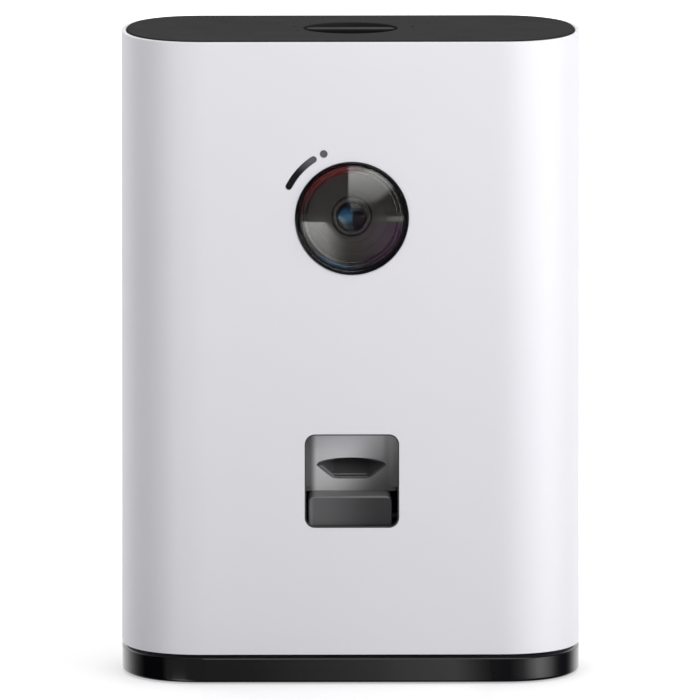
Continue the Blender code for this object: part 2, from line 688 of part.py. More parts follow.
def mouth_outline(rise=0.0):
    """The boat-shaped mouth seen from the front."""
    low, tip = MOUTH_BOTTOM + rise, MOUTH_TIP + rise
    points = [(-MOUTH_FLAT_HALF, low), (MOUTH_FLAT_HALF, low)]
    for step in range(ARCH_STEPS + 1):
        across = math.cos(math.pi * step / ARCH_STEPS)
        points.append((MOUTH_HALF_WIDTH * across, tip + MOUTH_ARCH_HEIGHT * (1 - across**2)))
    return points


def liner_plan(half, back, corner):
    """Half a round-cornered pocket seen from above, open at the front."""
    front = LINER_FRONT_Y
    points = [(-half, front), (half, front)]
    for middle, start in ((half - corner, 0), (-half + corner, math.pi / 2)):
        for step in range(CORNER_STEPS + 1):
            turn = start + math.pi / 2 * step / CORNER_STEPS
            points.append((middle + corner * math.cos(turn), back - corner + corner * math.sin(turn)))
    return points


def make_liner():
    half = WINDOW_SIDE / 2
    outside = liner_plan(half + LINER_WALL, LINER_BACK_Y + LINER_WALL, LINER_CORNER + LINER_WALL)
    liner = piece(
        "chute_liner",
        prism(outside, "Z", LINER_BOTTOM, WINDOW_TOP + LINER_WALL),
        grey_liner(),
    )
    inside = [
        (x, y - (OVERRUN if y <= LINER_FRONT_Y else 0))
        for x, y in liner_plan(half, LINER_BACK_Y, LINER_CORNER)
    ]
    cut(liner, prism(inside, "Z", LINER_BOTTOM - OVERRUN, WINDOW_TOP), "pocket")
    ends = (LINER_BACK_Y - OVERRUN, LINER_BACK_Y + OVERRUN)
    cut(liner, prism(mouth_outline(), "Y", *ends), "mouth")


def make_housing():
    bottom = DRUM_Z - HOUSING_HALF
    body = rectangle(DRUM_Y - HOUSING_HALF, DRUM_Y + HOUSING_HALF, bottom, HOUSING_TOP)
    housing = piece(
        "drum_housing", prism(body, "X", HOUSING_LEFT_X, HOUSING_RIGHT_X), frame_plastic()
    )
    duct_front = LINER_BACK_Y + LINER_WALL + FIT_GAP
    duct_back = DRUM_Y - BORE_RADIUS - HOUSING_WALL / 2
    wall = HOUSING_WALL
    duct_half = MOUTH_HALF_WIDTH + wall
    shell_low = rectangle(-duct_half, duct_half, MOUTH_BOTTOM - wall, MOUTH_TOP + wall)
    shell_high = [(x, z + MOUTH_RISE) for x, z in shell_low]
    duct = loft(
        [
            [placed("Y", x, z, duct_front) for x, z in shell_low],
            [placed("Y", x, z, duct_back) for x, z in shell_high],
        ]
    )
    join(housing, duct, "duct")
    centre = (DRUM_Y, DRUM_Z)
    bore_left = HOUSING_LEFT_X + HOUSING_WALL
    bore = [(BORE_RADIUS, bore_left), (BORE_RADIUS, HOUSING_RIGHT_X + OVERRUN)]
    cut(housing, turned("X", centre, bore, WIDE_ROUND), "bore")
    hole = BUSH_RADIUS + FIT_GAP
    bush = [(hole, HOUSING_LEFT_X - OVERRUN), (hole, bore_left + OVERRUN)]
    cut(housing, turned("X", centre, bush), "bush")
    inlet = rectangle(
        -DRUM_INLET_HALF_X,
        DRUM_INLET_HALF_X,
        DRUM_Y - DRUM_INLET_HALF_Y,
        DRUM_Y + DRUM_INLET_HALF_Y,
        THROAT_REACH,
    )
    cut(housing, prism(inlet, "Z", DRUM_Z, HOUSING_TOP + OVERRUN), "inlet")
    slope = MOUTH_RISE / (duct_back - duct_front)
    passage = loft(
        [
            [placed("Y", x, z, duct_front - OVERRUN) for x, z in mouth_outline(-OVERRUN * slope)],
            [
                placed("Y", x, z, duct_back + 2 * OVERRUN)
                for x, z in mouth_outline(MOUTH_RISE + 2 * OVERRUN * slope)
            ],
        ]
    )
    cut(housing, passage, "passage")
    cover = rectangle(DRUM_Y - HOUSING_HALF, DRUM_Y + HOUSING_HALF, bottom, HOUSING_TOP)
    cover_left = HOUSING_RIGHT_X + FIT_GAP
    drum_cover = piece(
        "drum_cover", prism(cover, "X", cover_left, cover_left + HOUSING_WALL), frame_plastic()
    )
    span = [(hole, cover_left - OVERRUN), (hole, cover_left + HOUSING_WALL + OVERRUN)]
    cut(drum_cover, turned("X", centre, span), "bush")


def bush_mesh(centre, inside, outside):
    """A flanged sleeve that runs from inside to just past outside, flange outermost."""
    way = math.copysign(1, outside)
    bore = SHAFT_RADIUS + FIT_GAP / 2
    flange_start = outside + way * FIT_GAP
    flange_end = flange_start + way * BUSH_FLANGE
    profile = [
        (bore, inside),
        (BUSH_RADIUS, inside),
        (BUSH_RADIUS, flange_start),
        (BUSH_FLANGE_RADIUS, flange_start),
        (BUSH_FLANGE_RADIUS, flange_end),
        (bore, flange_end),
    ]
    return turned("X", centre, profile, BUSH_ROUND, loop=True)


def make_drum():
    centre = (DRUM_Y, DRUM_Z)
    carrier = pivot("drum_pivot", (0, DRUM_Y, DRUM_Z))
    outline = []
    pocket_half = math.asin(POCKET_RADIUS / DRUM_RADIUS)
    for pocket in range(POCKET_COUNT):
        middle = 2 * math.pi * (pocket + 0.5) / POCKET_COUNT
        rim = DRUM_RADIUS * math.cos(pocket_half)
        for step in range(POCKET_STEPS + 1):
            turn = middle - math.pi / 2 - math.pi * step / POCKET_STEPS
            outline.append(
                (
                    DRUM_Y + rim * math.cos(middle) + POCKET_RADIUS * math.cos(turn),
                    DRUM_Z + rim * math.sin(middle) + POCKET_RADIUS * math.sin(turn),
                )
            )
        ridge = 2 * math.pi / POCKET_COUNT - 2 * pocket_half
        for step in range(1, RIDGE_STEPS):
            turn = middle + pocket_half + ridge * step / RIDGE_STEPS
            outline.append(
                (DRUM_Y + DRUM_RADIUS * math.cos(turn), DRUM_Z + DRUM_RADIUS * math.sin(turn))
            )
    drum = piece(
        "treat_drum",
        prism(outline, "X", -DRUM_HALF_WIDTH, DRUM_HALF_WIDTH),
        paddle_grey(),
        carrier=carrier,
    )
    bore = SHAFT_RADIUS + FIT_GAP
    ends = [(bore, -DRUM_HALF_WIDTH - OVERRUN), (bore, DRUM_HALF_WIDTH + OVERRUN)]
    cut(drum, turned("X", centre, ends), "shaft")
    left, right = -CHEEK_OUTSIDE_X - BUSH_FLANGE, GEAR_X + GEAR_WIDTH
    shaft = [(SHAFT_RADIUS, left), (SHAFT_RADIUS, right + FIT_GAP)]
    piece("drum_shaft", turned("X", centre, shaft), steel(), carrier=carrier)
    make_gear("drum_gear", centre, GEAR_TEETH, DRUM_PINION_TURN, carrier)
    inner_left, inner_right = -DRUM_HALF_WIDTH - FIT_GAP, DRUM_HALF_WIDTH + FIT_GAP
    piece("drum_bush_left", bush_mesh(centre, inner_left, -CHEEK_OUTSIDE_X), bearing_bronze())
    piece("drum_bush_right", bush_mesh(centre, inner_right, CHEEK_OUTSIDE_X), bearing_bronze())


def make_gear(name, centre, teeth, tooth_turn, carrier, first=0, count=None):
    """A spur gear, or a toothed sector on a hub, on a shaft's right end."""
    outline = gear_outline(centre, teeth, tooth_turn, first, count)
    if count is not None:
        outline.append(centre)
    span = (GEAR_X, GEAR_X + GEAR_WIDTH)
    gear = piece(name, prism(outline, "X", *span), gear_plastic(), carrier=carrier)
    if count is not None:
        hub = [(GEAR_HUB_RADIUS, along) for along in span]
        join(gear, turned("X", centre, hub), "hub")
    bore = SHAFT_RADIUS + FIT_GAP / 2
    hole = [(bore, GEAR_X - OVERRUN), (bore, GEAR_X + GEAR_WIDTH + OVERRUN)]
    cut(gear, turned("X", centre, hole), "bore")
    return gear


def make_motor(name, pinion_name, place, tooth_turn):
    """A gearmotor inside the right cheek, with its pinion outside it."""
    right = CHEEK_INSIDE_X - FIT_GAP
    body = [
        (MOTOR_RADIUS, right - MOTOR_LENGTH),
        (MOTOR_RADIUS, right),
        (MOTOR_NOSE_RADIUS, right),
        (MOTOR_NOSE_RADIUS, right + MOTOR_NOSE),
        (MOTOR_SHAFT_RADIUS, right + MOTOR_NOSE),
        (MOTOR_SHAFT_RADIUS, GEAR_X + GEAR_WIDTH),
    ]
    piece(name, turned("X", place, body, BODY_ROUND), steel())
    carrier = pivot(f"{pinion_name}_pivot", (0, *place))
    make_gear(pinion_name, place, PINION_TEETH, tooth_turn, carrier)


def make_paddle():
    centre = (PADDLE_AXIS_Y, PADDLE_AXIS_Z)
    carrier = pivot("paddle_pivot", (0, *centre))
    y, z = centre
    top = PADDLE_TOP
    front, back = y - PADDLE_FRONT_REACH, y + PADDLE_BACK_REACH
    section = [
        (front, z - PADDLE_HEEL + PADDLE_EDGE),
        (front + PADDLE_EDGE, z - PADDLE_HEEL),
        (y + PADDLE_FRONT_REACH, z - PADDLE_HEEL),
        (back, top - PADDLE_BACK_DROP),
        (back, top - PADDLE_EDGE),
        (back - PADDLE_EDGE, top),
        (front + PADDLE_EDGE, top),
        (front, top - PADDLE_EDGE),
    ]
    left = PADDLE_LEFT_SPACE - WINDOW_SIDE / 2
    right = WINDOW_SIDE / 2 - PADDLE_RIGHT_SPACE
    paddle = piece("toss_paddle", prism(section, "X", left, right), paddle_grey(), carrier=carrier)
    rounded = rectangle(left, right, z - PADDLE_HEEL - 2 * OVERRUN, top, PADDLE_CORNER)
    span = (front - OVERRUN, back + OVERRUN)
    mask = prism(rounded, "Y", *span)
    shape_with(paddle, "INTERSECT", mask, "toss_paddle_corner_mask")
    bore = SHAFT_RADIUS + FIT_GAP / 2
    hole = [(bore, left - OVERRUN), (bore, right + OVERRUN)]
    cut(paddle, turned("X", centre, hole), "shaft")
    ends = (-CHEEK_OUTSIDE_X - BUSH_FLANGE, GEAR_X + GEAR_WIDTH + FIT_GAP)
    shaft = [(SHAFT_RADIUS, along) for along in ends]
    piece("paddle_shaft", turned("X", centre, shaft), steel(), carrier=carrier)
    tooth = 2 * math.pi / GEAR_TEETH
    first = math.ceil((SECTOR_START - TOSS_PINION_TURN) / tooth)
    last = math.floor((SECTOR_END - TOSS_PINION_TURN) / tooth)
    make_gear(
        "paddle_gear", centre, GEAR_TEETH, TOSS_PINION_TURN, carrier, first, last - first + 1
    )
    for side, word in ((-1, "left"), (1, "right")):
        inner = side * (CHEEK_INSIDE_X - 2 * FIT_GAP)
        mesh = bush_mesh(centre, inner, side * CHEEK_OUTSIDE_X)
        piece(f"paddle_bush_{word}", mesh, bearing_bronze())


def make_hopper():
    """The treat store behind the camera, which stands in the collar of its funnel."""
    wall = HOPPER_WALL
    half_x = CASE_WIDTH / 2 - HOPPER_SIDE_DRAW
    half_y = (HOPPER_BACK_Y - HOPPER_FRONT_Y) / 2
    middle_y = (HOPPER_BACK_Y + HOPPER_FRONT_Y) / 2
    throat_x, throat_y = DRUM_INLET_HALF_X + wall, DRUM_INLET_HALF_Y + wall
    top = RIM_LEDGE - HOPPER_RIM_DROP
    bottom = CHEEK_HEIGHT + FIT_GAP

    def store_ring(inward, level):
        return oval(half_x - inward, half_y - inward, HOPPER_LOW_REACH - inward, level, middle_y)

    def throat_ring(inward, level):
        return oval(throat_x - inward, throat_y - inward, THROAT_REACH - inward, level, DRUM_Y)

    def store_walls(inward):
        rim = SHELL_WALL + HOPPER_SIDE_GAP + inward
        return [
            case_ring(rim, top),
            case_ring(rim, HOPPER_SLOPE_TOP),
            store_ring(inward, HOPPER_SLOPE_END),
            store_ring(inward, FUNNEL_TOP + FIT_GAP),
        ]

    walls = store_walls(0) + store_walls(wall)[::-1]
    hopper = piece("hopper", loft(walls, loop=True), clear_plastic())
    collar = FIT_GAP + COLLAR_WALL
    funnel_walls = [
        store_ring(-collar, FUNNEL_TOP + COLLAR_RISE),
        store_ring(-collar, FUNNEL_TOP - COLLAR_DROP),
        store_ring(0, FUNNEL_TOP - COLLAR_DROP),
        throat_ring(0, FUNNEL_END),
        throat_ring(0, bottom),
        throat_ring(wall, bottom),
        throat_ring(wall, FUNNEL_END),
        store_ring(wall, FUNNEL_TOP),
        store_ring(-FIT_GAP, FUNNEL_TOP),
        store_ring(-FIT_GAP, FUNNEL_TOP + COLLAR_RISE),
    ]
    funnel = piece("hopper_funnel", loft(funnel_walls, loop=True), clear_plastic())
    flange_half_y = throat_y + THROAT_FLANGE_WIDTH / 2
    rings = [
        oval(throat_x + THROAT_FLANGE_WIDTH, flange_half_y, THROAT_REACH, bottom, DRUM_Y),
        oval(
            throat_x + THROAT_FLANGE_WIDTH,
            flange_half_y,
            THROAT_REACH,
            bottom + THROAT_FLANGE,
            DRUM_Y,
        ),
        throat_ring(wall / 2, bottom + THROAT_FLANGE),
        throat_ring(wall / 2, bottom),
    ]
    join(funnel, loft(rings, loop=True), "throat_flange")
    inner_y = HOPPER_BACK_Y - wall
    for side, word in ((-1, "front"), (1, "back")):
        ends = sorted((side * (inner_y - KEEPER_REACH), side * (inner_y + wall / 2)))
        shelf = rectangle(-KEEPER_HALF_WIDTH, KEEPER_HALF_WIDTH, *ends)
        keeper = prism(shelf, "Z", KEEPER_TOP - KEEPER_THICKNESS, KEEPER_TOP)
        join(hopper, keeper, f"{word}_keeper")


def make_lid():
    carrier = pivot("lid_pivot", (0, 0, CASE_HEIGHT))
    under = CASE_HEIGHT - LID_PLATE
    skirt = LID_INSET + LID_SKIRT
    lid = piece(
        "lid_panel",
        loft(
            [
                case_ring(LID_INSET + LID_EDGE_ROUND, CASE_HEIGHT),
                case_ring(LID_INSET, CASE_HEIGHT - LID_EDGE_ROUND),
                case_ring(LID_INSET, LID_BOTTOM),
                case_ring(skirt, LID_BOTTOM),
                case_ring(skirt, under),
            ]
        ),
        black_satin(),
        carrier=carrier,
    )
    well_bottom = WELL_TOP_OF_FLOOR - WELL_FLOOR
    outer = WELL_RADIUS + WELL_WALL
    well = [(outer, well_bottom), (outer, under + LID_PLATE / 2)]
    join(lid, turned("Z", (0, 0), well, WIDE_ROUND), "well")
    bowl = [(WELL_RADIUS, WELL_TOP_OF_FLOOR), (WELL_RADIUS, CASE_HEIGHT + OVERRUN)]
    cut(lid, turned("Z", (0, 0), bowl, WIDE_ROUND), "bowl")
    hole = KNOB_SHAFT_RADIUS + FIT_GAP
    cut(lid, turned("Z", (0, 0), [(hole, PLUG_BOTTOM), (hole, CASE_HEIGHT)]), "shaft")
    make_plug(carrier, hole)
    make_lock(carrier)


def make_plug(carrier, hole):
    lip_top = PLUG_BOTTOM + PLUG_LIP
    shoulder = lip_top + SEAL_HEIGHT + 2 * FIT_GAP
    top = CASE_HEIGHT - LID_PLATE - FIT_GAP
    plug = piece(
        "lid_plug",
        loft(
            [
                case_ring(PLUG_LIP_INSET, PLUG_BOTTOM),
                case_ring(PLUG_LIP_INSET, lip_top),
                case_ring(PLUG_INSET, lip_top),
                case_ring(PLUG_INSET, shoulder),
                case_ring(SEAL_SHOULDER_INSET, shoulder),
                case_ring(SEAL_SHOULDER_INSET, top),
                case_ring(PLUG_INSET + PLUG_WALL, top),
                case_ring(PLUG_INSET + PLUG_WALL, PLUG_BOTTOM + PLUG_FLOOR),
            ]
        ),
        black_matte(),
        carrier=carrier,
    )
    span = [(hole, PLUG_BOTTOM - OVERRUN), (hole, PLUG_BOTTOM + PLUG_FLOOR + OVERRUN)]
    cut(plug, turned("Z", (0, 0), span), "shaft")
    seal_low, seal_high = lip_top + FIT_GAP, lip_top + FIT_GAP + SEAL_HEIGHT
    inner = PLUG_INSET - FIT_GAP
    seal = [
        case_ring(inner, seal_low),
        case_ring(SEAL_OUTER_INSET + FIT_GAP, seal_low),
        case_ring(SEAL_OUTER_INSET, (seal_low + seal_high) / 2),
        case_ring(SEAL_OUTER_INSET + FIT_GAP, seal_high),
        case_ring(inner, seal_high),
    ]
    piece("lid_seal", loft(seal, loop=True), soft_rubber(), carrier=carrier)


def make_lock(lid_carrier):
    carrier = pivot("lock_pivot", (0, 0, CASE_HEIGHT))
    disc = WELL_RADIUS - FIT_GAP
    disc_top = KNOB_BOTTOM + KNOB_DISC
    profile = [
        (KNOB_SHAFT_RADIUS, CAM_BOTTOM),
        (KNOB_SHAFT_RADIUS, KNOB_BOTTOM),
        (disc, KNOB_BOTTOM),
        (disc, disc_top),
    ]
    mesh = turned("Z", (0, 0), profile, WIDE_ROUND)
    knob = piece("lock_knob", mesh, black_satin(), carrier=carrier)
    half_length = math.sqrt(disc**2 - (GRIP_WIDTH / 2) ** 2) - GRIP_END_GAP
    grip_top = CASE_HEIGHT - GRIP_DROP
    half = GRIP_WIDTH / 2
    ease = GRIP_ROUND * ARC_MIDDLE_SHARE
    section = [
        (-half, disc_top - KNOB_DISC / 2),
        (half, disc_top - KNOB_DISC / 2),
        (half, grip_top - GRIP_ROUND),
        (half - ease, grip_top - ease),
        (half - GRIP_ROUND, grip_top),
        (-half + GRIP_ROUND, grip_top),
        (-half + ease, grip_top - ease),
        (-half, grip_top - GRIP_ROUND),
    ]
    join(knob, prism(section, "X", -half_length, half_length), "grip")
    pilot = CAM_SCREW_RADIUS + FIT_GAP
    depth = CAM_BOTTOM + CAM_SCREW_LENGTH + FIT_GAP
    cut(knob, turned("Z", (0, 0), [(pilot, CAM_BOTTOM - OVERRUN), (pilot, depth)]), "pilot")
    cam_top = CAM_BOTTOM + CAM_THICKNESS
    arm = rectangle(-CAM_TIP_REACH, CAM_TIP_REACH, -CAM_WIDTH / 2, CAM_WIDTH / 2, CAM_CORNER)
    cam = piece("lock_cam", prism(arm, "Z", CAM_BOTTOM, cam_top), gear_plastic(), carrier=carrier)
    hub = [(CAM_HUB_RADIUS, CAM_BOTTOM), (CAM_HUB_RADIUS, cam_top)]
    join(cam, turned("Z", (0, 0), hub), "hub")
    bore = KNOB_SHAFT_RADIUS + FIT_GAP
    cut(cam, turned("Z", (0, 0), [(bore, CAM_BOTTOM - OVERRUN), (bore, cam_top + OVERRUN)]), "bore")
    head_top = CAM_BOTTOM - FIT_GAP
    screw = [
        (CAM_SCREW_HEAD_RADIUS, head_top - CAM_SCREW_HEAD),
        (CAM_SCREW_HEAD_RADIUS, head_top),
        (CAM_SCREW_RADIUS, head_top),
        (CAM_SCREW_RADIUS, CAM_BOTTOM + CAM_SCREW_LENGTH),
    ]
    piece("cam_screw", turned("Z", (0, 0), screw), steel(), carrier=carrier)


def dome_rings(radius, bulge, front_y, steps, centre):
    """Rings of a shallow round cap that bulges towards -Y from front_y, tip first."""
    sphere = (radius**2 + bulge**2) / (2 * bulge)
    spread = math.asin(radius / sphere)
    rings = []
    for step in range(1, steps + 1):
        turn = spread * step / steps
        along = front_y - bulge + sphere * (1 - math.cos(turn))
        rings.append(circle("Y", centre, sphere * math.sin(turn), along, DOME_ROUND))
    return rings


def make_camera():
    centre = (0, LENS_HEIGHT)
    bezel_front = FRONT_Y - BEZEL_PROUD
    bezel_back = FRONT_INSIDE_Y
    inner = BEZEL_RADIUS - BEZEL_WIDTH
    ring = [
        (inner, bezel_back),
        (BEZEL_RADIUS, bezel_back),
        (BEZEL_RADIUS, bezel_front),
        (inner, bezel_front),
    ]
    piece("lens_bezel", turned("Y", centre, ring, WIDE_ROUND, loop=True), black_gloss())
    outer = dome_rings(DOME_RADIUS, DOME_BULGE, DOME_FRONT_Y, DOME_STEPS, centre)
    inner_rings = dome_rings(
        DOME_RADIUS - DOME_WALL, DOME_BULGE - DOME_WALL, DOME_FRONT_Y, DOME_STEPS, centre
    )
    piece("lens_dome", loft(outer + inner_rings[::-1]), lens_clear())

    front = bezel_back + FIT_GAP
    back = front + CAMERA_CUP_DEPTH
    bore = BARREL_RADIUS + FIT_GAP
    housing = [
        (BAFFLE_FRONT_RADIUS + FIT_GAP, front),
        (CAMERA_FLANGE_RADIUS, front),
        (CAMERA_FLANGE_RADIUS, front + CAMERA_FLANGE),
        (CAMERA_CUP_RADIUS, front + CAMERA_FLANGE),
        (CAMERA_CUP_RADIUS, back),
        (bore, back),
        (bore, back - CAMERA_CUP_WALL),
        (CAMERA_CUP_RADIUS - CAMERA_CUP_WALL, back - CAMERA_CUP_WALL),
        (CAMERA_CUP_RADIUS - CAMERA_CUP_WALL, front + CAMERA_FLANGE),
        (BAFFLE_FRONT_RADIUS + FIT_GAP, front + CAMERA_FLANGE),
    ]
    piece("camera_housing", turned("Y", centre, housing, DOME_ROUND, loop=True), black_matte())
    rim, eye = BAFFLE_FRONT_RADIUS, BAFFLE_HOLE_RADIUS
    baffle = [
        (rim, front),
        (rim, front + BAFFLE_WALL),
        (eye, front + BAFFLE_WALL + BAFFLE_DEPTH),
        (eye, front + BAFFLE_DEPTH),
    ]
    mesh = turned("Y", centre, baffle, DOME_ROUND, loop=True)
    baffle_piece = piece("lens_baffle", mesh, black_matte())
    barrel_back = back + FIT_GAP
    barrel_front = barrel_back - BARREL_LENGTH
    seat = barrel_front + GLASS_THICKNESS
    barrel = [
        (BARREL_BORE, barrel_front),
        (BARREL_RADIUS, barrel_front),
        (BARREL_RADIUS, barrel_back),
        (BARREL_BORE / 2, barrel_back),
        (BARREL_BORE / 2, seat + FIT_GAP),
        (BARREL_BORE, seat + FIT_GAP),
    ]
    piece("lens_barrel", turned("Y", centre, barrel, DOME_ROUND, loop=True), black_matte())
    rings = dome_rings(GLASS_RADIUS, GLASS_BULGE, barrel_front + GLASS_BULGE, GLASS_STEPS, centre)
    rings.append(circle("Y", centre, GLASS_RADIUS, seat, DOME_ROUND))
    piece("lens_glass", loft(rings), lens_clear())
    side = CAMERA_BOARD_HALF
    low, high = LENS_HEIGHT - side, LENS_HEIGHT + side
    board = rectangle(-side, side, low, high, CAMERA_BOARD_CORNER)
    board_front = barrel_back + FIT_GAP
    piece(
        "camera_board",
        prism(board, "Y", board_front, board_front + BOARD_THICKNESS),
        board_green(),
    )
    for side, word in ((-1, "left"), (1, "right")):
        place = (side * LAMP_X, LENS_HEIGHT)
        ease = LAMP_RADIUS + FIT_GAP
        hole = [(ease, front - OVERRUN), (ease, front + BAFFLE_DEPTH + OVERRUN)]
        cut(baffle_piece, turned("Y", place, hole), f"{word}_lamp")
        level = front + BAFFLE_DEPTH * (rim - LAMP_X) / (rim - eye)
        lamp = [(LAMP_RADIUS, level), (LAMP_RADIUS, level + LAMP_LENGTH)]
        piece(f"infrared_lamp_{word}", turned("Y", place, lamp), lens_clear())


def make_signs():
    """The curved status light, the round sensor window and the small board behind both."""
    flange_front = FRONT_INSIDE_Y + FIT_GAP
    flange_back = flange_front + SIGN_FLANGE_THICKNESS
    face = FRONT_Y + FIT_GAP / 2
    light = piece(
        "status_light",
        arc_slot(SIGN_WIDTH, SIGN_START, SIGN_END, face, flange_back),
        clear_plastic(),
    )
    flange_width = SIGN_WIDTH + SIGN_FLANGE
    join(light, arc_slot(flange_width, SIGN_START, SIGN_END, flange_front, flange_back), "flange")
    sensor = [
        (SENSOR_RADIUS, face),
        (SENSOR_RADIUS, flange_front),
        (SENSOR_FLANGE_RADIUS, flange_front),
        (SENSOR_FLANGE_RADIUS, flange_back),
    ]
    piece("sensor_window", turned("Y", sensor_place(), sensor, BODY_ROUND), clear_plastic())
    board_front = flange_back + FIT_GAP
    start, end = SENSOR_TURN - SIGN_BOARD_HALF_ANGLE / 2, SIGN_END
    piece(
        "indicator_board",
        arc_slot(SIGN_BOARD_WIDTH, start, end, board_front, board_front + BOARD_THICKNESS),
        board_green(),
    )


def make_electronics():
    right = -CHEEK_OUTSIDE_X - FIT_GAP
    left = right - BOARD_THICKNESS
    front, back = FRONT_INSIDE_Y + MAIN_BOARD_FRONT_SPACE, BACK_INSIDE_Y - MAIN_BOARD_BACK_SPACE
    low, high = FRAME_FLOOR + MAIN_BOARD_LIFT, DRUM_Z - MAIN_BOARD_DROP
    outline = rectangle(front, back, low, high, MAIN_BOARD_CORNER)
    board = piece("main_board", prism(outline, "X", left, right), board_green())
    middle_y, middle_z = (front + back) / 2, (low + high) / 2
    half = CHIP_SIDE / 2
    chip = rectangle(middle_y - half, middle_y + half, middle_z - half, middle_z + half)
    join(board, prism(chip, "X", left - CHIP_HEIGHT, left + BOARD_THICKNESS / 2), "chip")

    board_y = REAR_POST_Y + REAR_POST_THICKNESS + FIT_GAP
    face_y = board_y + BOARD_THICKNESS + FIT_GAP
    board_low = FRAME_FLOOR + FIT_GAP
    outline = rectangle(REAR_BOARD_X0, REAR_BOARD_X1, board_low, REAR_BOARD_TOP)
    piece("rear_board", prism(outline, "Y", board_y, board_y + BOARD_THICKNESS), board_green())

    body_back = BACK_INSIDE_Y - FIT_GAP
    wide, high = INLET_BODY_HALF_WIDTH, INLET_BODY_HALF_HEIGHT
    body = rectangle(-wide, wide, INLET_HEIGHT - high, INLET_HEIGHT + high)
    inlet = piece("power_inlet", prism(body, "Y", face_y, body_back), black_matte())
    nose_back = CASE_DEPTH / 2 - INLET_RECESS
    wide, high = INLET_HALF_WIDTH, INLET_HALF_HEIGHT
    nose = rectangle(-wide, wide, INLET_HEIGHT - high, INLET_HEIGHT + high, high - FIT_GAP)
    join(inlet, prism(nose, "Y", body_back - SHELL_WALL, nose_back), "nose")
    wide, high = INLET_SOCKET_HALF_WIDTH, INLET_SOCKET_HALF_HEIGHT
    socket = rectangle(-wide, wide, INLET_HEIGHT - high, INLET_HEIGHT + high, high - FIT_GAP)
    cut(inlet, prism(socket, "Y", nose_back - INLET_SOCKET_DEPTH, nose_back + OVERRUN), "socket")

    place = (BUTTON_X, INLET_HEIGHT)
    carrier = pivot("reset_pivot", (BUTTON_X, body_back, INLET_HEIGHT))
    flange_back = body_back
    flange_front = flange_back - BUTTON_FLANGE
    button = [
        (BUTTON_FLANGE_RADIUS, flange_front),
        (BUTTON_FLANGE_RADIUS, flange_back),
        (BUTTON_RADIUS, flange_back),
        (BUTTON_RADIUS, CASE_DEPTH / 2 - BUTTON_RECESS),
    ]
    mesh = turned("Y", place, button, BODY_ROUND)
    piece("reset_button", mesh, black_satin(), carrier=carrier)
    switch_back = flange_front - BUTTON_TRAVEL - FIT_GAP / 2
    half = SWITCH_HALF
    outline = rectangle(
        BUTTON_X - half, BUTTON_X + half, INLET_HEIGHT - half, INLET_HEIGHT + half
    )
    piece("reset_switch", prism(outline, "Y", face_y, switch_back), black_matte())

    back = BACK_INSIDE_Y - FIT_GAP
    rim_front = back - SPEAKER_DEPTH
    speaker = [
        (MAGNET_RADIUS, rim_front - SPEAKER_STEP + SPEAKER_DEPTH),
        (MAGNET_RADIUS, rim_front),
        (SPEAKER_RADIUS, rim_front),
        (SPEAKER_RADIUS, back),
    ]
    mesh = turned("Y", (SPEAKER_X, SPEAKER_HEIGHT), speaker, DOME_ROUND)
    piece("speaker", mesh, black_matte())


def main():
    clear_scene()
    make_base()
    make_shell()
    make_frame()
    make_liner()
    make_paddle()
    make_motor(
        "toss_motor",
        "toss_pinion",
        (TOSS_PINION_Y, TOSS_PINION_Z),
        TOSS_PINION_TURN + math.pi + math.pi / PINION_TEETH,
    )
    make_housing()
    make_drum()
    make_motor(
        "drum_motor",
        "drum_pinion",
        (DRUM_PINION_Y, DRUM_PINION_Z),
        DRUM_PINION_TURN + math.pi + math.pi / PINION_TEETH,
    )
    make_hopper()
    make_lid()
    make_camera()
    make_signs()
    make_electronics()


main()
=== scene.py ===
"""The looks of the treat tossing pet camera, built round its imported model."""

import math

import bmesh
import bpy
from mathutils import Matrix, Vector


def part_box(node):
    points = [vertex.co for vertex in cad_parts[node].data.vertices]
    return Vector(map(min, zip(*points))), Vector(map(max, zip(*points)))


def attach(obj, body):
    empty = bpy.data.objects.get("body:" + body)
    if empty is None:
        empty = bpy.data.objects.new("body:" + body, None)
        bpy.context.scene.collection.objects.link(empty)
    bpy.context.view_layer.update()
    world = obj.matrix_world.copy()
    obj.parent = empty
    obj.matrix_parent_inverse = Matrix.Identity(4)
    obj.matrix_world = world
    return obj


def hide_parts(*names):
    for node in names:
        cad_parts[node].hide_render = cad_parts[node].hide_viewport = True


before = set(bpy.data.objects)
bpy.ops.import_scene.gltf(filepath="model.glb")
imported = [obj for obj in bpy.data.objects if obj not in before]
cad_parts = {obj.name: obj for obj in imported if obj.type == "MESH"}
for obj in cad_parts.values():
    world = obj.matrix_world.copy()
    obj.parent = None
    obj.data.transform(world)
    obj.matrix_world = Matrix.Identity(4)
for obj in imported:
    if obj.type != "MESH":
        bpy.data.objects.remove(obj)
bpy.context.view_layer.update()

ORIGIN = Vector((0, 0, 0))
BACKWARD, UPWARD, SIDEWAYS = Vector((0, 1, 0)), Vector((0, 0, 1)), Vector((1, 0, 0))

# Sizes that the case's shapes share, in metres
CASE_WIDTH, CASE_DEPTH, CASE_HEIGHT = 0.170, 0.084, 0.240
END_REACH, ROUND_SHARE = 0.031, 2.3
SHELL_WALL, RIM_WALL, RIM_DEPTH = 0.0024, 0.0017, 0.005
RIM_TOP = CASE_HEIGHT - 0.0004
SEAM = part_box("outer_shell")[0].z
FRONT = -CASE_DEPTH / 2
GAP = 0.0003
LENS, LENS_RADIUS = UPWARD * 0.174, 0.021
WINDOW_SIDE, WINDOW_LOW, WINDOW_CORNER = 0.035, 0.0584, 0.0038
LINER_WALL = 0.0012
SIGN_RADIUS = 0.0262
SHAFT_BORE = 0.004

# How finely round shapes are made, how near counts as on a plane, and how far cutters pass a wall
END_STEPS = 40
BREAK_ANGLE = math.radians(28)
NEAR, SAME_POINT = 0.00001, 0.000001
OVER = 0.004


# Mesh helpers

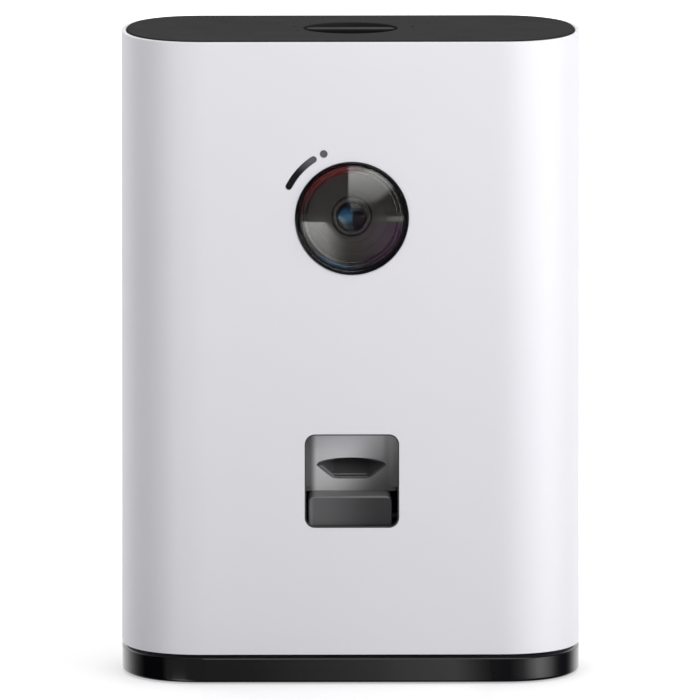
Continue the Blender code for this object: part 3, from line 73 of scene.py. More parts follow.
def plan(mesh, inset, level, half_x=CASE_WIDTH / 2, half_y=CASE_DEPTH / 2, reach=END_REACH, middle_y=0.0):
    """A level face with the case's outline, drawn in by an inset."""
    half_x, half_y, reach = half_x - inset, half_y - inset, reach - inset
    power = 2 / ROUND_SHARE
    corners = []
    for side in (1, -1):
        for step in range(END_STEPS + 1):
            turn = math.pi * step / END_STEPS - math.pi / 2
            x = half_x - reach + reach * max(math.cos(turn), 0) ** power
            y = half_y * math.copysign(abs(math.sin(turn)) ** power, math.sin(turn))
            corners.append(mesh.verts.new((side * x, side * y + middle_y, level)))
    return mesh.faces.new(corners)


def pushed(mesh, face, move):
    """Extrudes a face by a vector and gives its new end. A face that stands alone stays as the start."""
    attached = any(len(edge.link_faces) > 1 for edge in face.edges)
    made = bmesh.ops.extrude_face_region(mesh, geom=[face])["geom"]
    bmesh.ops.translate(mesh, vec=move, verts=[g for g in made if isinstance(g, bmesh.types.BMVert)])
    end = next(g for g in made if isinstance(g, bmesh.types.BMFace))
    if attached:
        bmesh.ops.delete(mesh, geom=[face], context="FACES_ONLY")
    return end


def drawn_in(mesh, face, width):
    """Insets one face, which stays as the inner one."""
    bmesh.ops.inset_region(mesh, faces=[face], thickness=width, use_even_offset=True)
    return face


def lowered(mesh, face, level):
    """Extrudes a level face up or down to a level."""
    return pushed(mesh, face, UPWARD * (level - face.verts[0].co.z))


def merged(mesh):
    bmesh.ops.remove_doubles(mesh, verts=mesh.verts, dist=SAME_POINT)


def outward(mesh):
    bmesh.ops.recalc_face_normals(mesh, faces=mesh.faces)


def walled(outlines):
    """A closed wall through level outlines and back to the first, each the arguments of plan."""
    mesh, guide = bmesh.new(), bmesh.new()
    start = plan(mesh, *outlines[0])
    face = pushed(mesh, start, ORIGIN)
    for outline in outlines[1:] + outlines[:1]:
        target = plan(guide, *outline)
        for corner, place in zip(face.verts, target.verts):
            corner.co = place.co
        face = pushed(mesh, face, ORIGIN)
    guide.free()
    bmesh.ops.delete(mesh, geom=[start, face], context="FACES_ONLY")
    merged(mesh)
    outward(mesh)
    if mesh.calc_volume(signed=True) < 0:
        bmesh.ops.reverse_faces(mesh, faces=mesh.faces)
    return mesh


def bevelled(mesh, edges, width, segments):
    bmesh.ops.bevel(
        mesh, geom=edges, offset=width, offset_type="OFFSET", segments=segments, profile=0.5,
        affect="EDGES", clamp_overlap=True, material=-1,
    )


def eased(mesh, width, segments, test=lambda corner: True):
    """Rounds the sharp edges whose two ends pass a test."""
    edges = [
        edge
        for edge in mesh.edges
        if edge.is_manifold and edge.calc_face_angle(0) > BREAK_ANGLE and all(test(v.co) for v in edge.verts)
    ]
    bevelled(mesh, edges, width, segments)


def outline_face(mesh, points):
    return mesh.faces.new([mesh.verts.new(point) for point in points])


def rounded_rectangle(half_a, half_b, corner, steps=8):
    """(a, b) points of a rectangle round the origin with round corners."""
    points = []
    for number, (side_a, side_b) in enumerate(((1, 1), (-1, 1), (-1, -1), (1, -1))):
        for step in range(steps + 1):
            turn = math.pi / 2 * (number + step / steps)
            a = side_a * (half_a - corner) + corner * math.cos(turn)
            b = side_b * (half_b - corner) + corner * math.sin(turn)
            points.append((a, b))
    return points


def upright(points, y=0.0):
    """(x, z) pairs as points of an outline that faces the front."""
    return [(x, y, z) for x, z in points]


def rounded_corner(before, corner, after, ease, segments):
    """The points of a short curve that rounds one corner of an outline."""
    here = Vector(corner)
    back, on = Vector(before) - here, Vector(after) - here
    reach = min(ease, back.length * 0.45, on.length * 0.45)
    start, end = here + back.normalized() * reach, here + on.normalized() * reach
    shares = [step / segments for step in range(segments + 1)]
    return [tuple(start.lerp(here, share).lerp(here.lerp(end, share), share)) for share in shares]


def rounded_profile(corners, ease):
    """A turned profile whose inner corners are rounded."""
    points = [corners[0]]
    for before, corner, after in zip(corners, corners[1:], corners[2:]):
        points += rounded_corner(before, corner, after, ease, 3)
    return points + [corners[-1]]


def round_bar(radius, start, end):
    """The turned profile of a plain round bar."""
    return [(0, start), (radius, start), (radius, end), (0, end)]


def block_along(points, start, way):
    """A solid pushed along a vector from an outline of points."""
    mesh = bmesh.new()
    face = outline_face(mesh, [Vector(point) + start for point in points])
    pushed(mesh, face, way)
    outward(mesh)
    return mesh


def spun(profile, centre, axis, steps=96, ring=False):
    """Turns (radius, along) pairs about an axis through a centre; a ring joins its last to its first."""
    mesh = bmesh.new()
    across = SIDEWAYS if abs(axis.x) < 0.5 else UPWARD
    chain = [mesh.verts.new(centre + across * radius + axis * along) for radius, along in profile]
    edges = [mesh.edges.new(pair) for pair in zip(chain, chain[1:])]
    if ring:
        edges.append(mesh.edges.new((chain[-1], chain[0])))
    bmesh.ops.spin(
        mesh, geom=chain + edges, cent=centre, axis=axis, angle=2 * math.pi, steps=steps, use_merge=True
    )
    merged(mesh)
    outward(mesh)
    return mesh


def made_object(name, mesh):
    data = bpy.data.meshes.new(name)
    mesh.to_mesh(data)
    mesh.free()
    thing = bpy.data.objects.new(name, data)
    bpy.context.scene.collection.objects.link(thing)
    return thing


def carved(thing, cuts=(), joins=()):
    """Joins helper solids to a piece and then cuts others from it, for good."""
    helpers = []
    for operation, meshes in (("UNION", joins), ("DIFFERENCE", cuts)):
        for mesh in meshes:
            helper = made_object("helper", mesh)
            change = thing.modifiers.new("change", "BOOLEAN")
            change.operation, change.solver, change.object = operation, "EXACT", helper
            helpers.append(helper)
    graph = bpy.context.evaluated_depsgraph_get()
    graph.update()
    data = bpy.data.meshes.new_from_object(thing.evaluated_get(graph))
    thing.modifiers.clear()
    thing.data = data
    for helper in helpers:
        bpy.data.objects.remove(helper)


def reworked(thing, *rounds):
    """Rounds the edges of a carved piece. A round is a width, its segments and a test of an edge's ends."""
    mesh = bmesh.new()
    mesh.from_mesh(thing.data)
    merged(mesh)
    for width, segments, test in rounds:
        eased(mesh, width, segments, test)
    mesh.to_mesh(thing.data)
    mesh.free()


def finished(thing, body, material, nodes=(), angle=BREAK_ANGLE):
    """Shades a piece, gives it its finish and its body, and hides the nodes that it stands for."""
    thing.data.materials.clear()
    thing.data.materials.append(material)
    thing.data.shade_smooth()
    thing.data.set_sharp_from_angle(angle=angle)
    weigh = thing.modifiers.new("face_weighted_normals", "WEIGHTED_NORMAL")
    weigh.mode = "FACE_AREA"
    weigh.keep_sharp = True
    weigh.weight = 50
    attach(thing, body)
    if nodes:
        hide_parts(*nodes)


# Node helpers

def feed(tree, socket, value):
    """Gives a socket a link, a colour or a plain value."""
    if isinstance(value, bpy.types.NodeSocket):
        tree.links.new(value, socket)
    elif socket.type == "RGBA":
        socket.default_value = (*value, 1)
    else:
        socket.default_value = value


def fed(tree, node, **values):
    """Feeds a node's inputs, whose names have underscores here for their spaces."""
    for key, value in values.items():
        feed(tree, node.inputs[key.replace("_", " ")], value)
    return node


def added(tree, kind, settings=None, **values):
    """A node with its properties set and its inputs fed."""
    node = tree.nodes.new("ShaderNode" + kind)
    for key, value in (settings or {}).items():
        setattr(node, key, value)
    return fed(tree, node, **values)


def object_place(tree):
    return added(tree, "TexCoord").outputs["Object"]


def worked(tree, operation, *values, kind="Math", out="Value"):
    """What a Math or Vector Math node makes of numbers and sockets."""
    node = added(tree, kind, {"operation": operation})
    for value, socket in zip(values, node.inputs):
        feed(tree, socket, value)
    return node.outputs[out]


def combined(tree, operation, first, *others):
    """One Math operation over several values in turn."""
    for other in others:
        first = worked(tree, operation, first, other)
    return first


def spread(tree, source, low, high, start=0.3, end=0.7):
    """A value remapped from one range to another."""
    node = added(tree, "MapRange", Value=source, From_Min=start, From_Max=end, To_Min=low, To_Max=high)
    return node.outputs["Result"]


def ramped(tree, source, start, end, *stops):
    """A value of 0 to 1 along straight lines between (place, value) stops, level out to start and end."""
    ramp = added(tree, "ValToRGB", Fac=spread(tree, source, 0, 1, start, end))
    points = ramp.color_ramp.elements
    for place, value in stops:
        if start < place < end:
            points.new((place - start) / (end - start)).color = (value, value, value, 1)
    for point, value in ((points[0], stops[0][1]), (points[-1], stops[-1][1])):
        point.color = (value, value, value, 1)
    return ramp.outputs["Color"]


def blended(tree, share, first, second):
    """A colour between two, each a colour or a socket."""
    node = added(tree, "Mix", {"data_type": "RGBA"}, Factor=share)
    feed(tree, node.inputs[6], first)
    feed(tree, node.inputs[7], second)
    return node.outputs[2]


def bumped(tree, shader, height, strength, distance):
    bump = added(tree, "Bump", Strength=strength, Distance=distance, Height=height)
    feed(tree, shader.inputs["Normal"], bump.outputs["Normal"])


def new_group(name, inputs, outputs):
    """A shader node group of named numbers, with the sockets that it is given and those of its result."""
    tree = bpy.data.node_groups.new(name, "ShaderNodeTree")
    for label, value in inputs.items():
        socket = tree.interface.new_socket(name=label, in_out="INPUT", socket_type="NodeSocketFloat")
        socket.default_value = value
    for label in outputs:
        tree.interface.new_socket(name=label, in_out="OUTPUT", socket_type="NodeSocketFloat")
    return tree, tree.nodes.new("NodeGroupInput").outputs, tree.nodes.new("NodeGroupOutput").inputs


def moulded_grain():
    """Fine spark texture, slow cloudiness and faint rubbing of a moulded plastic face."""
    scales = {"Grain scale": 2600, "Cloud scale": 14, "Rub scale": 60}
    tree, given, result = new_group("moulded_grain", scales, ("Grain", "Cloud", "Rub"))
    place = object_place(tree)
    textures = (("Grain", 2, 0.6, 0), ("Cloud", 3, 0.5, 0), ("Rub", 6, 0.7, 0.6))
    for label, detail, roughness, distortion in textures:
        texture = added(
            tree, "TexNoise", Vector=place, Scale=given[label + " scale"], Detail=detail, Roughness=roughness,
            Distortion=distortion,
        )
        feed(tree, result[label], texture.outputs["Fac"])
    return tree


def graded_along():
    """A share that goes from 0 to 1 along one direction of the object, both ends softened."""
    sockets = {"Along x": 0, "Along z": 0, "Start": 0, "End": 1}
    tree, given, result = new_group("graded_along", sockets, ("Share",))
    way = added(tree, "CombineXYZ", X=given["Along x"], Z=given["Along z"]).outputs["Vector"]
    reach = worked(tree, "DOT_PRODUCT", object_place(tree), way, kind="VectorMath")
    soft = {"interpolation_type": "SMOOTHSTEP"}
    level = added(tree, "MapRange", soft, Value=reach, From_Min=given["Start"], From_Max=given["End"])
    feed(tree, result["Share"], level.outputs["Result"])
    return tree


def settled_dust():
    """A mask of the light dust that lies on faces that look up."""
    tree, given, result = new_group("settled_dust", {"Speck scale": 900}, ("Dust",))
    specks = added(
        tree, "TexNoise", Vector=object_place(tree), Scale=given["Speck scale"], Detail=4.0, Roughness=0.8
    )
    facing = added(tree, "SeparateXYZ", Vector=added(tree, "NewGeometry").outputs["Normal"])
    lying = spread(tree, specks.outputs["Fac"], 0, 1, 0.60, 0.82)
    up = spread(tree, facing.outputs["Z"], 0, 1, 0.75, 1.0)
    feed(tree, result["Dust"], worked(tree, "MULTIPLY", lying, up))
    return tree


GRAIN, DUST, GRADED = moulded_grain(), settled_dust(), graded_along()


# Finishes

def blank_material(name):
    material = bpy.data.materials.new(name)
    material.use_nodes = True
    tree = material.node_tree
    return material, tree, tree.nodes["Principled BSDF"]


def grey(level, shift=0.001):
    """A grey whose blue is a little apart."""
    return level, level, level + shift


def plastic(name, dark, light, smooth, rough, grain=0.0, grain_scale=2600, dust=0.0, grades=(), **values):
    """Moulded plastic or glass: two close colours, roughness from rubbing, a spark grain, dust, tones
    that fade along x and z (painted light and shade on the liner and the paddle), and the shader's own
    values."""
    material, tree, shader = blank_material(name)
    texture = added(tree, "Group", {"node_tree": GRAIN}, Grain_scale=grain_scale).outputs
    colour = blended(tree, spread(tree, texture["Cloud"], 0, 1), dark, light)
    if dust:
        lying = added(tree, "Group", {"node_tree": DUST}).outputs["Dust"]
        colour = blended(tree, spread(tree, lying, 0, dust, 0, 1), colour, (0.55, 0.54, 0.52))
    for along_x, along_z, start, end, tone in grades:
        fade = added(
            tree, "Group", {"node_tree": GRADED}, Along_x=along_x, Along_z=along_z, Start=start, End=end
        )
        colour = blended(tree, fade.outputs["Share"], colour, tone)
    fed(tree, shader, Base_Color=colour, Roughness=spread(tree, texture["Rub"], smooth, rough), **values)
    if grain:
        bumped(tree, shader, texture["Grain"], 0.35, grain)
    return material


def metal(name, dark, light, smooth, rough, brush_axis):
    """Turned or drawn metal with fine lines along one direction."""
    material, tree, shader = blank_material(name)
    scales = [40 if axis == brush_axis else 3000 for axis in "XYZ"]
    drawn = added(tree, "Mapping", Vector=object_place(tree), Scale=scales).outputs["Vector"]
    lines = added(tree, "TexNoise", Vector=drawn, Scale=1.0, Detail=2.0).outputs["Fac"]
    colour, roughness = blended(tree, lines, dark, light), spread(tree, lines, smooth, rough)
    fed(tree, shader, Base_Color=colour, Roughness=roughness, Metallic=1.0)
    bumped(tree, shader, lines, 0.2, 0.00002)
    return material


def circuit_board():
    """Green solder mask over faint copper tracks."""
    material, tree, shader = blank_material("circuit_board")
    bricks = added(
        tree, "TexBrick", {"offset": 0.37}, Vector=object_place(tree), Scale=260.0, Mortar_Size=0.06
    )
    tracks = bricks.outputs["Fac"]
    colour = blended(tree, tracks, (0.012, 0.085, 0.035), (0.05, 0.21, 0.09))
    fed(tree, shader, Base_Color=colour, Roughness=spread(tree, tracks, 0.28, 0.45, 0, 1))
    bumped(tree, shader, tracks, 0.4, 0.00004)
    return material


def turned_black():
    """Matte black with fine rings round the lens axis, as a baffle that kills stray light has."""
    material, tree, shader = blank_material("turned_black")
    ring_pitch = 0.0007
    centred = added(tree, "Mapping", Vector=object_place(tree), Location=-LENS).outputs["Vector"]
    flat = worked(tree, "MULTIPLY", centred, (1, 0, 1), kind="VectorMath", out="Vector")
    reach = worked(tree, "LENGTH", flat, kind="VectorMath")
    wave = worked(tree, "SINE", worked(tree, "MULTIPLY", reach, 2 * math.pi / ring_pitch))
    colour = blended(tree, spread(tree, wave, 0, 1, -1, 1), (0.150, 0.154, 0.147), (0.158, 0.162, 0.155))
    fed(tree, shader, Base_Color=colour, Roughness=spread(tree, wave, 0.45, 0.55, -1, 1))
    bumped(tree, shader, wave, 0.06, 0.00003)
    return material


SHELL_WHITE = plastic("shell_white", (0.768, 0.763, 0.803), (0.783, 0.778, 0.815), 0.34, 0.37, 0.000008)
BASE_BLACK = plastic("base_black", grey(0.003), grey(0.004), 0.05, 0.06, 0.000002)
LID_BLACK = plastic(
    "lid_black", grey(0.022), grey(0.026), 0.62, 0.68, 0.00002, 1900, 0.02, Specular_IOR_Level=0.02
)
KNOB_BLACK = plastic(
    "knob_black", grey(0.010), grey(0.013), 0.5, 0.58, 0.00002, 1900, Specular_IOR_Level=0.04
)
INNER_BLACK = plastic("inner_black", grey(0.012), grey(0.020), 0.45, 0.6, 0.00003)
# Painted shade: the grades darken the pocket's left corner, its right edge and its lower right. The
# near-white base, lighter than the white shell, is painted light for the deep pocket.
LINER_GREY = plastic(
    "liner_grey", grey(0.93, 0.01), grey(0.95, 0.01), 0.36, 0.48, 0.00002,
    grades=[
        (-1, 0, 0.0126, 0.0153, grey(0.18, 0.005)), (1, 0, 0.0113, 0.0132, grey(0.66, 0.01)),
        (1, -1, -0.087, -0.059, grey(0.24, 0.005)),
    ],
)
# Painted shade and highlight: the front darkens towards the right and lightens at its left edge. A band along
# the top edge is lightened as a painted highlight line.
PADDLE_GREY = plastic(
    "paddle_grey", grey(0.105, 0.003), grey(0.115, 0.003), 0.34, 0.44, 0.00002,
    grades=[
        (1, 0, -0.017, 0.012, grey(0.029, 0.002)), (-1, 0, 0.0138, 0.0151, grey(0.15, 0.004)),
        (0, 1, 0.0689, 0.0698, grey(0.145, 0.004)),
    ],
)
DRUM_GREY = plastic("drum_grey", grey(0.075, 0.002), grey(0.092, 0.002), 0.34, 0.44, 0.00002)
BEAD_GREY = metal("bead_grey", grey(0.12, 0.0), grey(0.17, -0.005), 0.12, 0.2, "Y")
BEZEL_BLACK = plastic(
    "bezel_black", grey(0.004), grey(0.006), 0.12, 0.16, 0.000002, Specular_IOR_Level=0.2
)
FRAME_BLACK = plastic("frame_black", grey(0.030, 0.003), grey(0.045, 0.005), 0.5, 0.65, 0.00004)
# Partly painted shade: real ledges in the mouth, coloured darker than the pocket to stand for the shade
# there.
SHADED_LEDGE_GREY = plastic("shaded_ledge_grey", grey(0.27, 0.005), grey(0.30, 0.005), 0.4, 0.5, 0.00003)
# Painted shade: the dark colour of the rim inside the window's opening.
SHADE_RIM_GREY = plastic("shade_rim_grey", grey(0.040, 0.003), grey(0.055, 0.003), 0.5, 0.6, 0.00003)
HOUSING_GREY = plastic("housing_grey", grey(0.15, 0.005), grey(0.18, 0.005), 0.5, 0.6, 0.00003)
GEAR_WHITE = plastic("gear_white", (0.72, 0.70, 0.63), (0.78, 0.76, 0.70), 0.32, 0.45, 0.00001)
RUBBER_BLACK = plastic("rubber_black", grey(0.018), grey(0.032), 0.65, 0.85, 0.00006, 1500, 0.05)
SIGN_BLACK = plastic(
    "sign_black", grey(0.004), grey(0.006), 0.10, 0.18, 0.000002,
    grades=[(0.5, 1, 0.1795, 0.1890, grey(0.11, 0.01))], Coat_Weight=0.5, Coat_Roughness=0.12,
)
SENSOR_GREY = plastic(
    "sensor_grey", grey(0.115, 0.005), grey(0.13, 0.005), 0.12, 0.2, 0.000002,
    Coat_Weight=0.5, Coat_Roughness=0.12,
)
STEEL = metal("drawn_steel", grey(0.48, 0.02), grey(0.66, 0.02), 0.22, 0.38, "X")
BLACKED_STEEL = metal("blacked_steel", grey(0.010), grey(0.018), 0.4, 0.55, "X")
BRONZE = metal("sintered_bronze", (0.42, 0.28, 0.13), (0.58, 0.40, 0.20), 0.3, 0.45, "X")
BOARD_GREEN = circuit_board()
STORE_CLEAR = plastic("frosted_plastic", (0.60, 0.62, 0.63), (0.68, 0.70, 0.71), 0.22, 0.38, Alpha=0.55)
DOME_CLEAR = plastic(
    "dome_clear", (0.74, 0.74, 0.72), (0.7844, 0.7844, 0.7632), 0.0, 0.02, Transmission_Weight=1.0, IOR=1.5
)
GLASS_COATED = plastic(
    "glass_coated", (0.80, 0.87, 0.90), (0.848, 0.9222, 0.954), 0.0, 0.02,
    Transmission_Weight=1.0, IOR=1.5, Specular_IOR_Level=0.15,
)
BLUE_COATED = plastic(
    "blue_coating", (0.004, 0.007, 0.010), (0.005, 0.009, 0.013), 0.03, 0.06,
    IOR=2.0, Specular_Tint=(0.16, 0.55, 1.0),
)
BAFFLE_BLACK = turned_black()


# Case

def front_cuts(through):
    """The window, and the bores of the lens, the sensor and the status light."""
    start, way, half = BACKWARD * (FRONT - OVER), BACKWARD * through, WINDOW_SIDE / 2
    window = upright(rounded_rectangle(half, half, WINDOW_CORNER))
    return [
        block_along(window, start + UPWARD * (WINDOW_LOW + half), way),
        spun(round_bar(LENS_RADIUS + 0.0001, 0, through), start + LENS, BACKWARD),
        spun(round_bar(0.00145, 0, through), start + sensor_middle(), BACKWARD, 32),
        block_along(upright(sign_outline(0.0025)), start + LENS, way),
    ]


def back_cuts(through):
    """The inlet's opening, the button's bore and the slots before the speaker."""
    def middle(node):
        low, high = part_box(node)
        return Vector(((low.x + high.x) / 2, 0, (low.z + high.z) / 2))

    start, way = BACKWARD * (CASE_DEPTH / 2 + OVER), -BACKWARD * through
    inlet = upright(rounded_rectangle(0.0060, 0.0031, 0.0030))
    cuts = [
        block_along(inlet, start + middle("power_inlet"), way),
        spun(round_bar(0.0024, 0, -through), start + middle("reset_button"), BACKWARD, 40),
    ]
    slot_rows, slot_pitch, field_radius = 5, 0.0045, 0.0124
    for row in range(slot_rows):
        offset = (row - (slot_rows - 1) / 2) * slot_pitch
        reach = math.sqrt(field_radius**2 - offset**2)
        slot = upright(rounded_rectangle(reach, 0.0008, 0.00075, 4))
        cuts.append(block_along(slot, start + middle("speaker") + UPWARD * offset, way))
    return cuts


def case_shell():
    mesh = bmesh.new()
    face = plan(mesh, 0, SEAM)
    top = lowered(mesh, face, RIM_TOP)
    ledge = lowered(mesh, drawn_in(mesh, top, RIM_WALL), CASE_HEIGHT - RIM_DEPTH)
    inner = lowered(mesh, drawn_in(mesh, ledge, SHELL_WALL - RIM_WALL), SEAM)
    rims = list(face.edges) + list(inner.edges)
    bmesh.ops.delete(mesh, geom=[face, inner], context="FACES_ONLY")
    bmesh.ops.bridge_loops(mesh, edges=rims)
    outward(mesh)
    eased(mesh, 0.0005, 3, lambda c: c.z > RIM_TOP - 0.0001)
    eased(mesh, 0.0002, 2, lambda c: c.z < SEAM + 0.0001)
    shell = made_object("case_shell", mesh)
    through = SHELL_WALL + 2 * OVER
    carved(shell, front_cuts(through) + back_cuts(through))

    def round_a_hole(c):
        level = abs(abs(c.y) - CASE_DEPTH / 2) < NEAR
        return level and 0.014 < c.z < 0.21 and abs(c.x) < 0.053

    reworked(shell, (0.0003, 3, round_a_hole))
    finished(shell, "case", SHELL_WHITE, ["outer_shell"])


def sensor_middle():
    turn = math.radians(113.5)
    return LENS + Vector((math.cos(turn), 0, math.sin(turn))) * SIGN_RADIUS


def sign_outline(width, steps=20, tip_steps=8):
    """A curved bar with round ends, round the lens axis, as (x, z) points."""
    start, end = math.radians(123), math.radians(153)
    half = width / 2
    points = []
    for side, first, last in ((1, start, end), (-1, end, start)):
        for step in range(steps + 1):
            turn = first + (last - first) * step / steps
            radius = SIGN_RADIUS + side * half
            points.append((radius * math.cos(turn), radius * math.sin(turn)))
        middle = Vector((math.cos(last), math.sin(last))) * SIGN_RADIUS
        for step in range(1, tip_steps):
            turn = last + (0 if side > 0 else math.pi) + math.pi * step / tip_steps
            points.append(tuple(middle + Vector((math.cos(turn), math.sin(turn))) * half))
    return points


def base():
    low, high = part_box("base_cover")
    top, slope = SEAM - GAP, 0.0013
    mesh = bmesh.new()
    face = plan(mesh, 0, low.z)
    crown = lowered(mesh, lowered(mesh, face, top - slope), top)
    narrower = (1 - slope / (CASE_WIDTH / 2), 1 - slope / (CASE_DEPTH / 2), 1)
    bmesh.ops.scale(mesh, vec=narrower, verts=crown.verts)
    tongue = lowered(mesh, drawn_in(mesh, crown, 0.0014), high.z)
    lowered(mesh, drawn_in(mesh, tongue, 0.0018), low.z + 0.0024)
    lowered(mesh, drawn_in(mesh, face, 0.0042), low.z + 0.0011)
    outward(mesh)
    eased(mesh, 0.0011, 4, lambda c: c.z < low.z + NEAR and outermost(c))
    eased(mesh, 0.0002, 3, lambda c: abs(c.z - top + slope) < NEAR)
    finished(made_object("base_tray", mesh), "case", BASE_BLACK, ["base_cover"])


def outermost(c, inset=0.0005):
    """Whether a point lies on the case's outline rather than inside it."""
    side = abs(c.x) - (CASE_WIDTH / 2 - END_REACH)
    reach = max(side, 0) / (END_REACH - inset)
    return reach**ROUND_SHARE + (abs(c.y) / (CASE_DEPTH / 2 - inset)) ** ROUND_SHARE > 1


# Lid and lock

def lid():
    low = CASE_HEIGHT - RIM_DEPTH + GAP
    well_radius, well_floor, wall = 0.01745, CASE_HEIGHT - 0.010, 0.0018
    under = CASE_HEIGHT - 0.0026
    mesh = bmesh.new()
    face = plan(mesh, RIM_WALL + GAP, low)
    lowered(mesh, face, CASE_HEIGHT)
    lowered(mesh, drawn_in(mesh, face, wall), under)
    outward(mesh)
    eased(mesh, 0.0006, 4, lambda c: c.z > CASE_HEIGHT - NEAR)
    panel = made_object("lid_top", mesh)
    well = round_bar(well_radius + wall, well_floor - wall, under + 0.001)
    bowl = round_bar(well_radius, well_floor, CASE_HEIGHT + OVER)
    bore = round_bar(SHAFT_BORE, well_floor - OVER, well_floor + OVER)
    carved(
        panel, [spun(bowl, ORIGIN, UPWARD), spun(bore, ORIGIN, UPWARD)], joins=[spun(well, ORIGIN, UPWARD)]
    )
    dimple = [(0, -0.00035), (0.0006, -0.00035), (0.0009, 0.0002), (0, 0.0002)]
    spots = ((-0.0209, 0.0033), (-0.0196, -0.0085), (0.0232, 0.0033))
    carved(panel, [spun(dimple, Vector((x, y, CASE_HEIGHT)), UPWARD, 24) for x, y in spots])
    reworked(panel, (0.0007, 4, lambda c: c.z > CASE_HEIGHT - NEAR and c.xy.length < well_radius + 0.0005))
    finished(panel, "lid", LID_BLACK, ["lid_panel"])


def lock():
    low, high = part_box("lock_knob")
    disc, disc_low, disc_high = 0.01715, CASE_HEIGHT - 0.0097, CASE_HEIGHT - 0.0079
    shaft = 0.0037
    profile = [
        (0, low.z), (shaft, low.z), (shaft, disc_low), (disc, disc_low), (disc, disc_high), (0, disc_high),
    ]
    knob = made_object("lock_grip", spun(rounded_profile(profile, 0.0003), ORIGIN, UPWARD))
    length, width, top = high.x * 0.96, 0.0037, CASE_HEIGHT - 0.0001
    bar = rounded_rectangle(length, width, width * 0.9)
    grip = bmesh.new()
    lowered(grip, outline_face(grip, [(a, b, disc_high - 0.0009) for a, b in bar]), top)
    outward(grip)
    eased(grip, 0.0006, 5, lambda c: c.z > top - NEAR)
    carved(knob, joins=[grip])
    finished(knob, "lock", KNOB_BLACK, ["lock_knob"])


# Camera and studio

def direction(azimuth, elevation):
    """The way from the object towards a point round it, with azimuth 0 in front of it."""
    turn, rise = math.radians(azimuth), math.radians(elevation)
    return Vector((math.sin(turn) * math.cos(rise), -math.cos(turn) * math.cos(rise), math.sin(rise)))


def photograph_camera():
    """A long lens a little above the case, as the photograph has."""
    aim, view_width, distance = Vector((-0.0002, 0, 0.1194)), 0.2602, 10.0
    way = direction(-0.7, 7.5)
    data = bpy.data.cameras.new("camera")
    data.sensor_width = 36
    data.lens = 36 * distance / view_width
    data.clip_start, data.clip_end = 0.1, 100
    camera = bpy.data.objects.new("camera", data)
    camera.location = aim + way * distance
    camera.rotation_euler = way.to_track_quat("Z", "Y").to_euler()
    bpy.context.scene.collection.objects.link(camera)
    bpy.context.scene.camera = camera


def studio_reflected(tree, place):
    """What gloss shows of the studio: white behind the object, dark and tinted cards in front, softboxes."""
    split = added(tree, "SeparateXYZ", Vector=place).outputs
    forward = worked(tree, "MULTIPLY", split["Y"], -1)
    turn = worked(tree, "DEGREES", worked(tree, "ARCTAN2", split["X"], forward))
    rise = worked(tree, "DEGREES", worked(tree, "ARCSINE", split["Z"]))

    def product(*values):
        return combined(tree, "MULTIPLY", *values)

    def by_turn(*stops):
        return ramped(tree, turn, -180, 180, *stops)

    def by_rise(*stops):
        return ramped(tree, rise, -90, 90, *stops)

    level = by_turn(
        (-150, 1), (-136, 0.5), (-124, 0.27), (-114, 0.1), (-106, 0), (-68, 0), (-58, 0.22), (-5, 0.24),
        (3, 0.1), (14, 0.08), (108, 0.08), (117, 0.03), (125, 0.03), (138, 0.13), (151, 0.65), (160, 1),
    )
    band = by_rise((-90, 0.12), (-14, 0.2), (-9.5, 1), (-5, 1), (-2, 0.2), (90, 0.12))
    behind = by_turn((-150, 1), (-120, 0.15), (-105, 0), (124, 0), (134, 0.15), (152, 1))
    ceiling = by_rise((52, 0), (75, 0.8))
    room = combined(tree, "MAXIMUM", product(level, band), behind, ceiling)

    strip_turn = by_turn(
        (14, 0), (35, 0.16), (49, 0.58), (62, 0.96), (70, 0.96), (82, 0.64), (99, 0.12), (108, 0)
    )
    strip = product(strip_turn, by_rise((-10, 0), (-9.3, 1), (-5.6, 1), (-4.9, 0)), 2.5)

    upper_lean = worked(tree, "SUBTRACT", rise, product(turn, 0.55))
    upper = product(
        by_turn((-3.5, 0), (-2.5, 1), (50, 1), (57, 0)),
        by_rise((6, 0), (12, 0.3), (24, 0.6), (38, 1), (41, 0.55), (53, 0.45), (57, 0)),
        ramped(tree, upper_lean, -180, 180, (-6, 0), (-1, 1)),
    )

    # Angle from the way in which the middle of the lens mirrors the camera
    below = worked(tree, "POWER", worked(tree, "ADD", rise, 7.75), 2)
    away = worked(tree, "SQRT", worked(tree, "ADD", below, worked(tree, "POWER", turn, 2)))

    def by_reach(*stops):
        return ramped(tree, away, 0, 360, *stops)

    lower_lean = worked(tree, "ADD", rise, product(turn, 1.05))
    lower = product(
        by_turn((-62, 0), (-58, 1), (-36, 0.95), (-26, 0.85), (-16, 0.33), (-7, 0.09), (0, 0)),
        by_rise((-90, 0), (-58, 0.15), (-10.5, 1), (-9.5, 0)),
        ramped(tree, lower_lean, -360, 360, (-39, 1), (-33, 0)),
        by_reach((47.5, 1), (49, 0.2), (90, 0.2), (360, 0)),
    )
    boxes = product(worked(tree, "ADD", upper, lower), 3.7)
    shown = combined(tree, "ADD", room, boxes, strip)

    left = by_turn((-8, 1), (10, 0.4), (20, 0))
    red = product(by_reach((43, 0), (49, 1), (62, 1), (66, 0)), left, by_rise((-5, 0), (10, 0.45), (40, 1)))
    blue = product(by_reach((46, 0), (52, 1), (62, 1), (66, 0)), left, by_rise((-49, 1), (-37, 0)))
    right = by_turn((0, 0), (32, 0.75), (45, 1), (58, 1), (66, 0))
    violet = product(right, by_rise((-90, 0.4), (-50, 0.6), (-13, 1), (-10, 0)))
    tint_shares = {"X": (1.0, 0.06, 0.34), "Y": (0.08, 0.5, 0.15), "Z": (0.09, 1.1, 0.36)}
    channels = {}
    for axis, shares in tint_shares.items():
        tints = [product(card, share) for card, share in zip((red, blue, violet), shares)]
        channels[axis] = combined(tree, "ADD", shown, *tints)
    return added(tree, "CombineXYZ", **channels).outputs["Vector"]


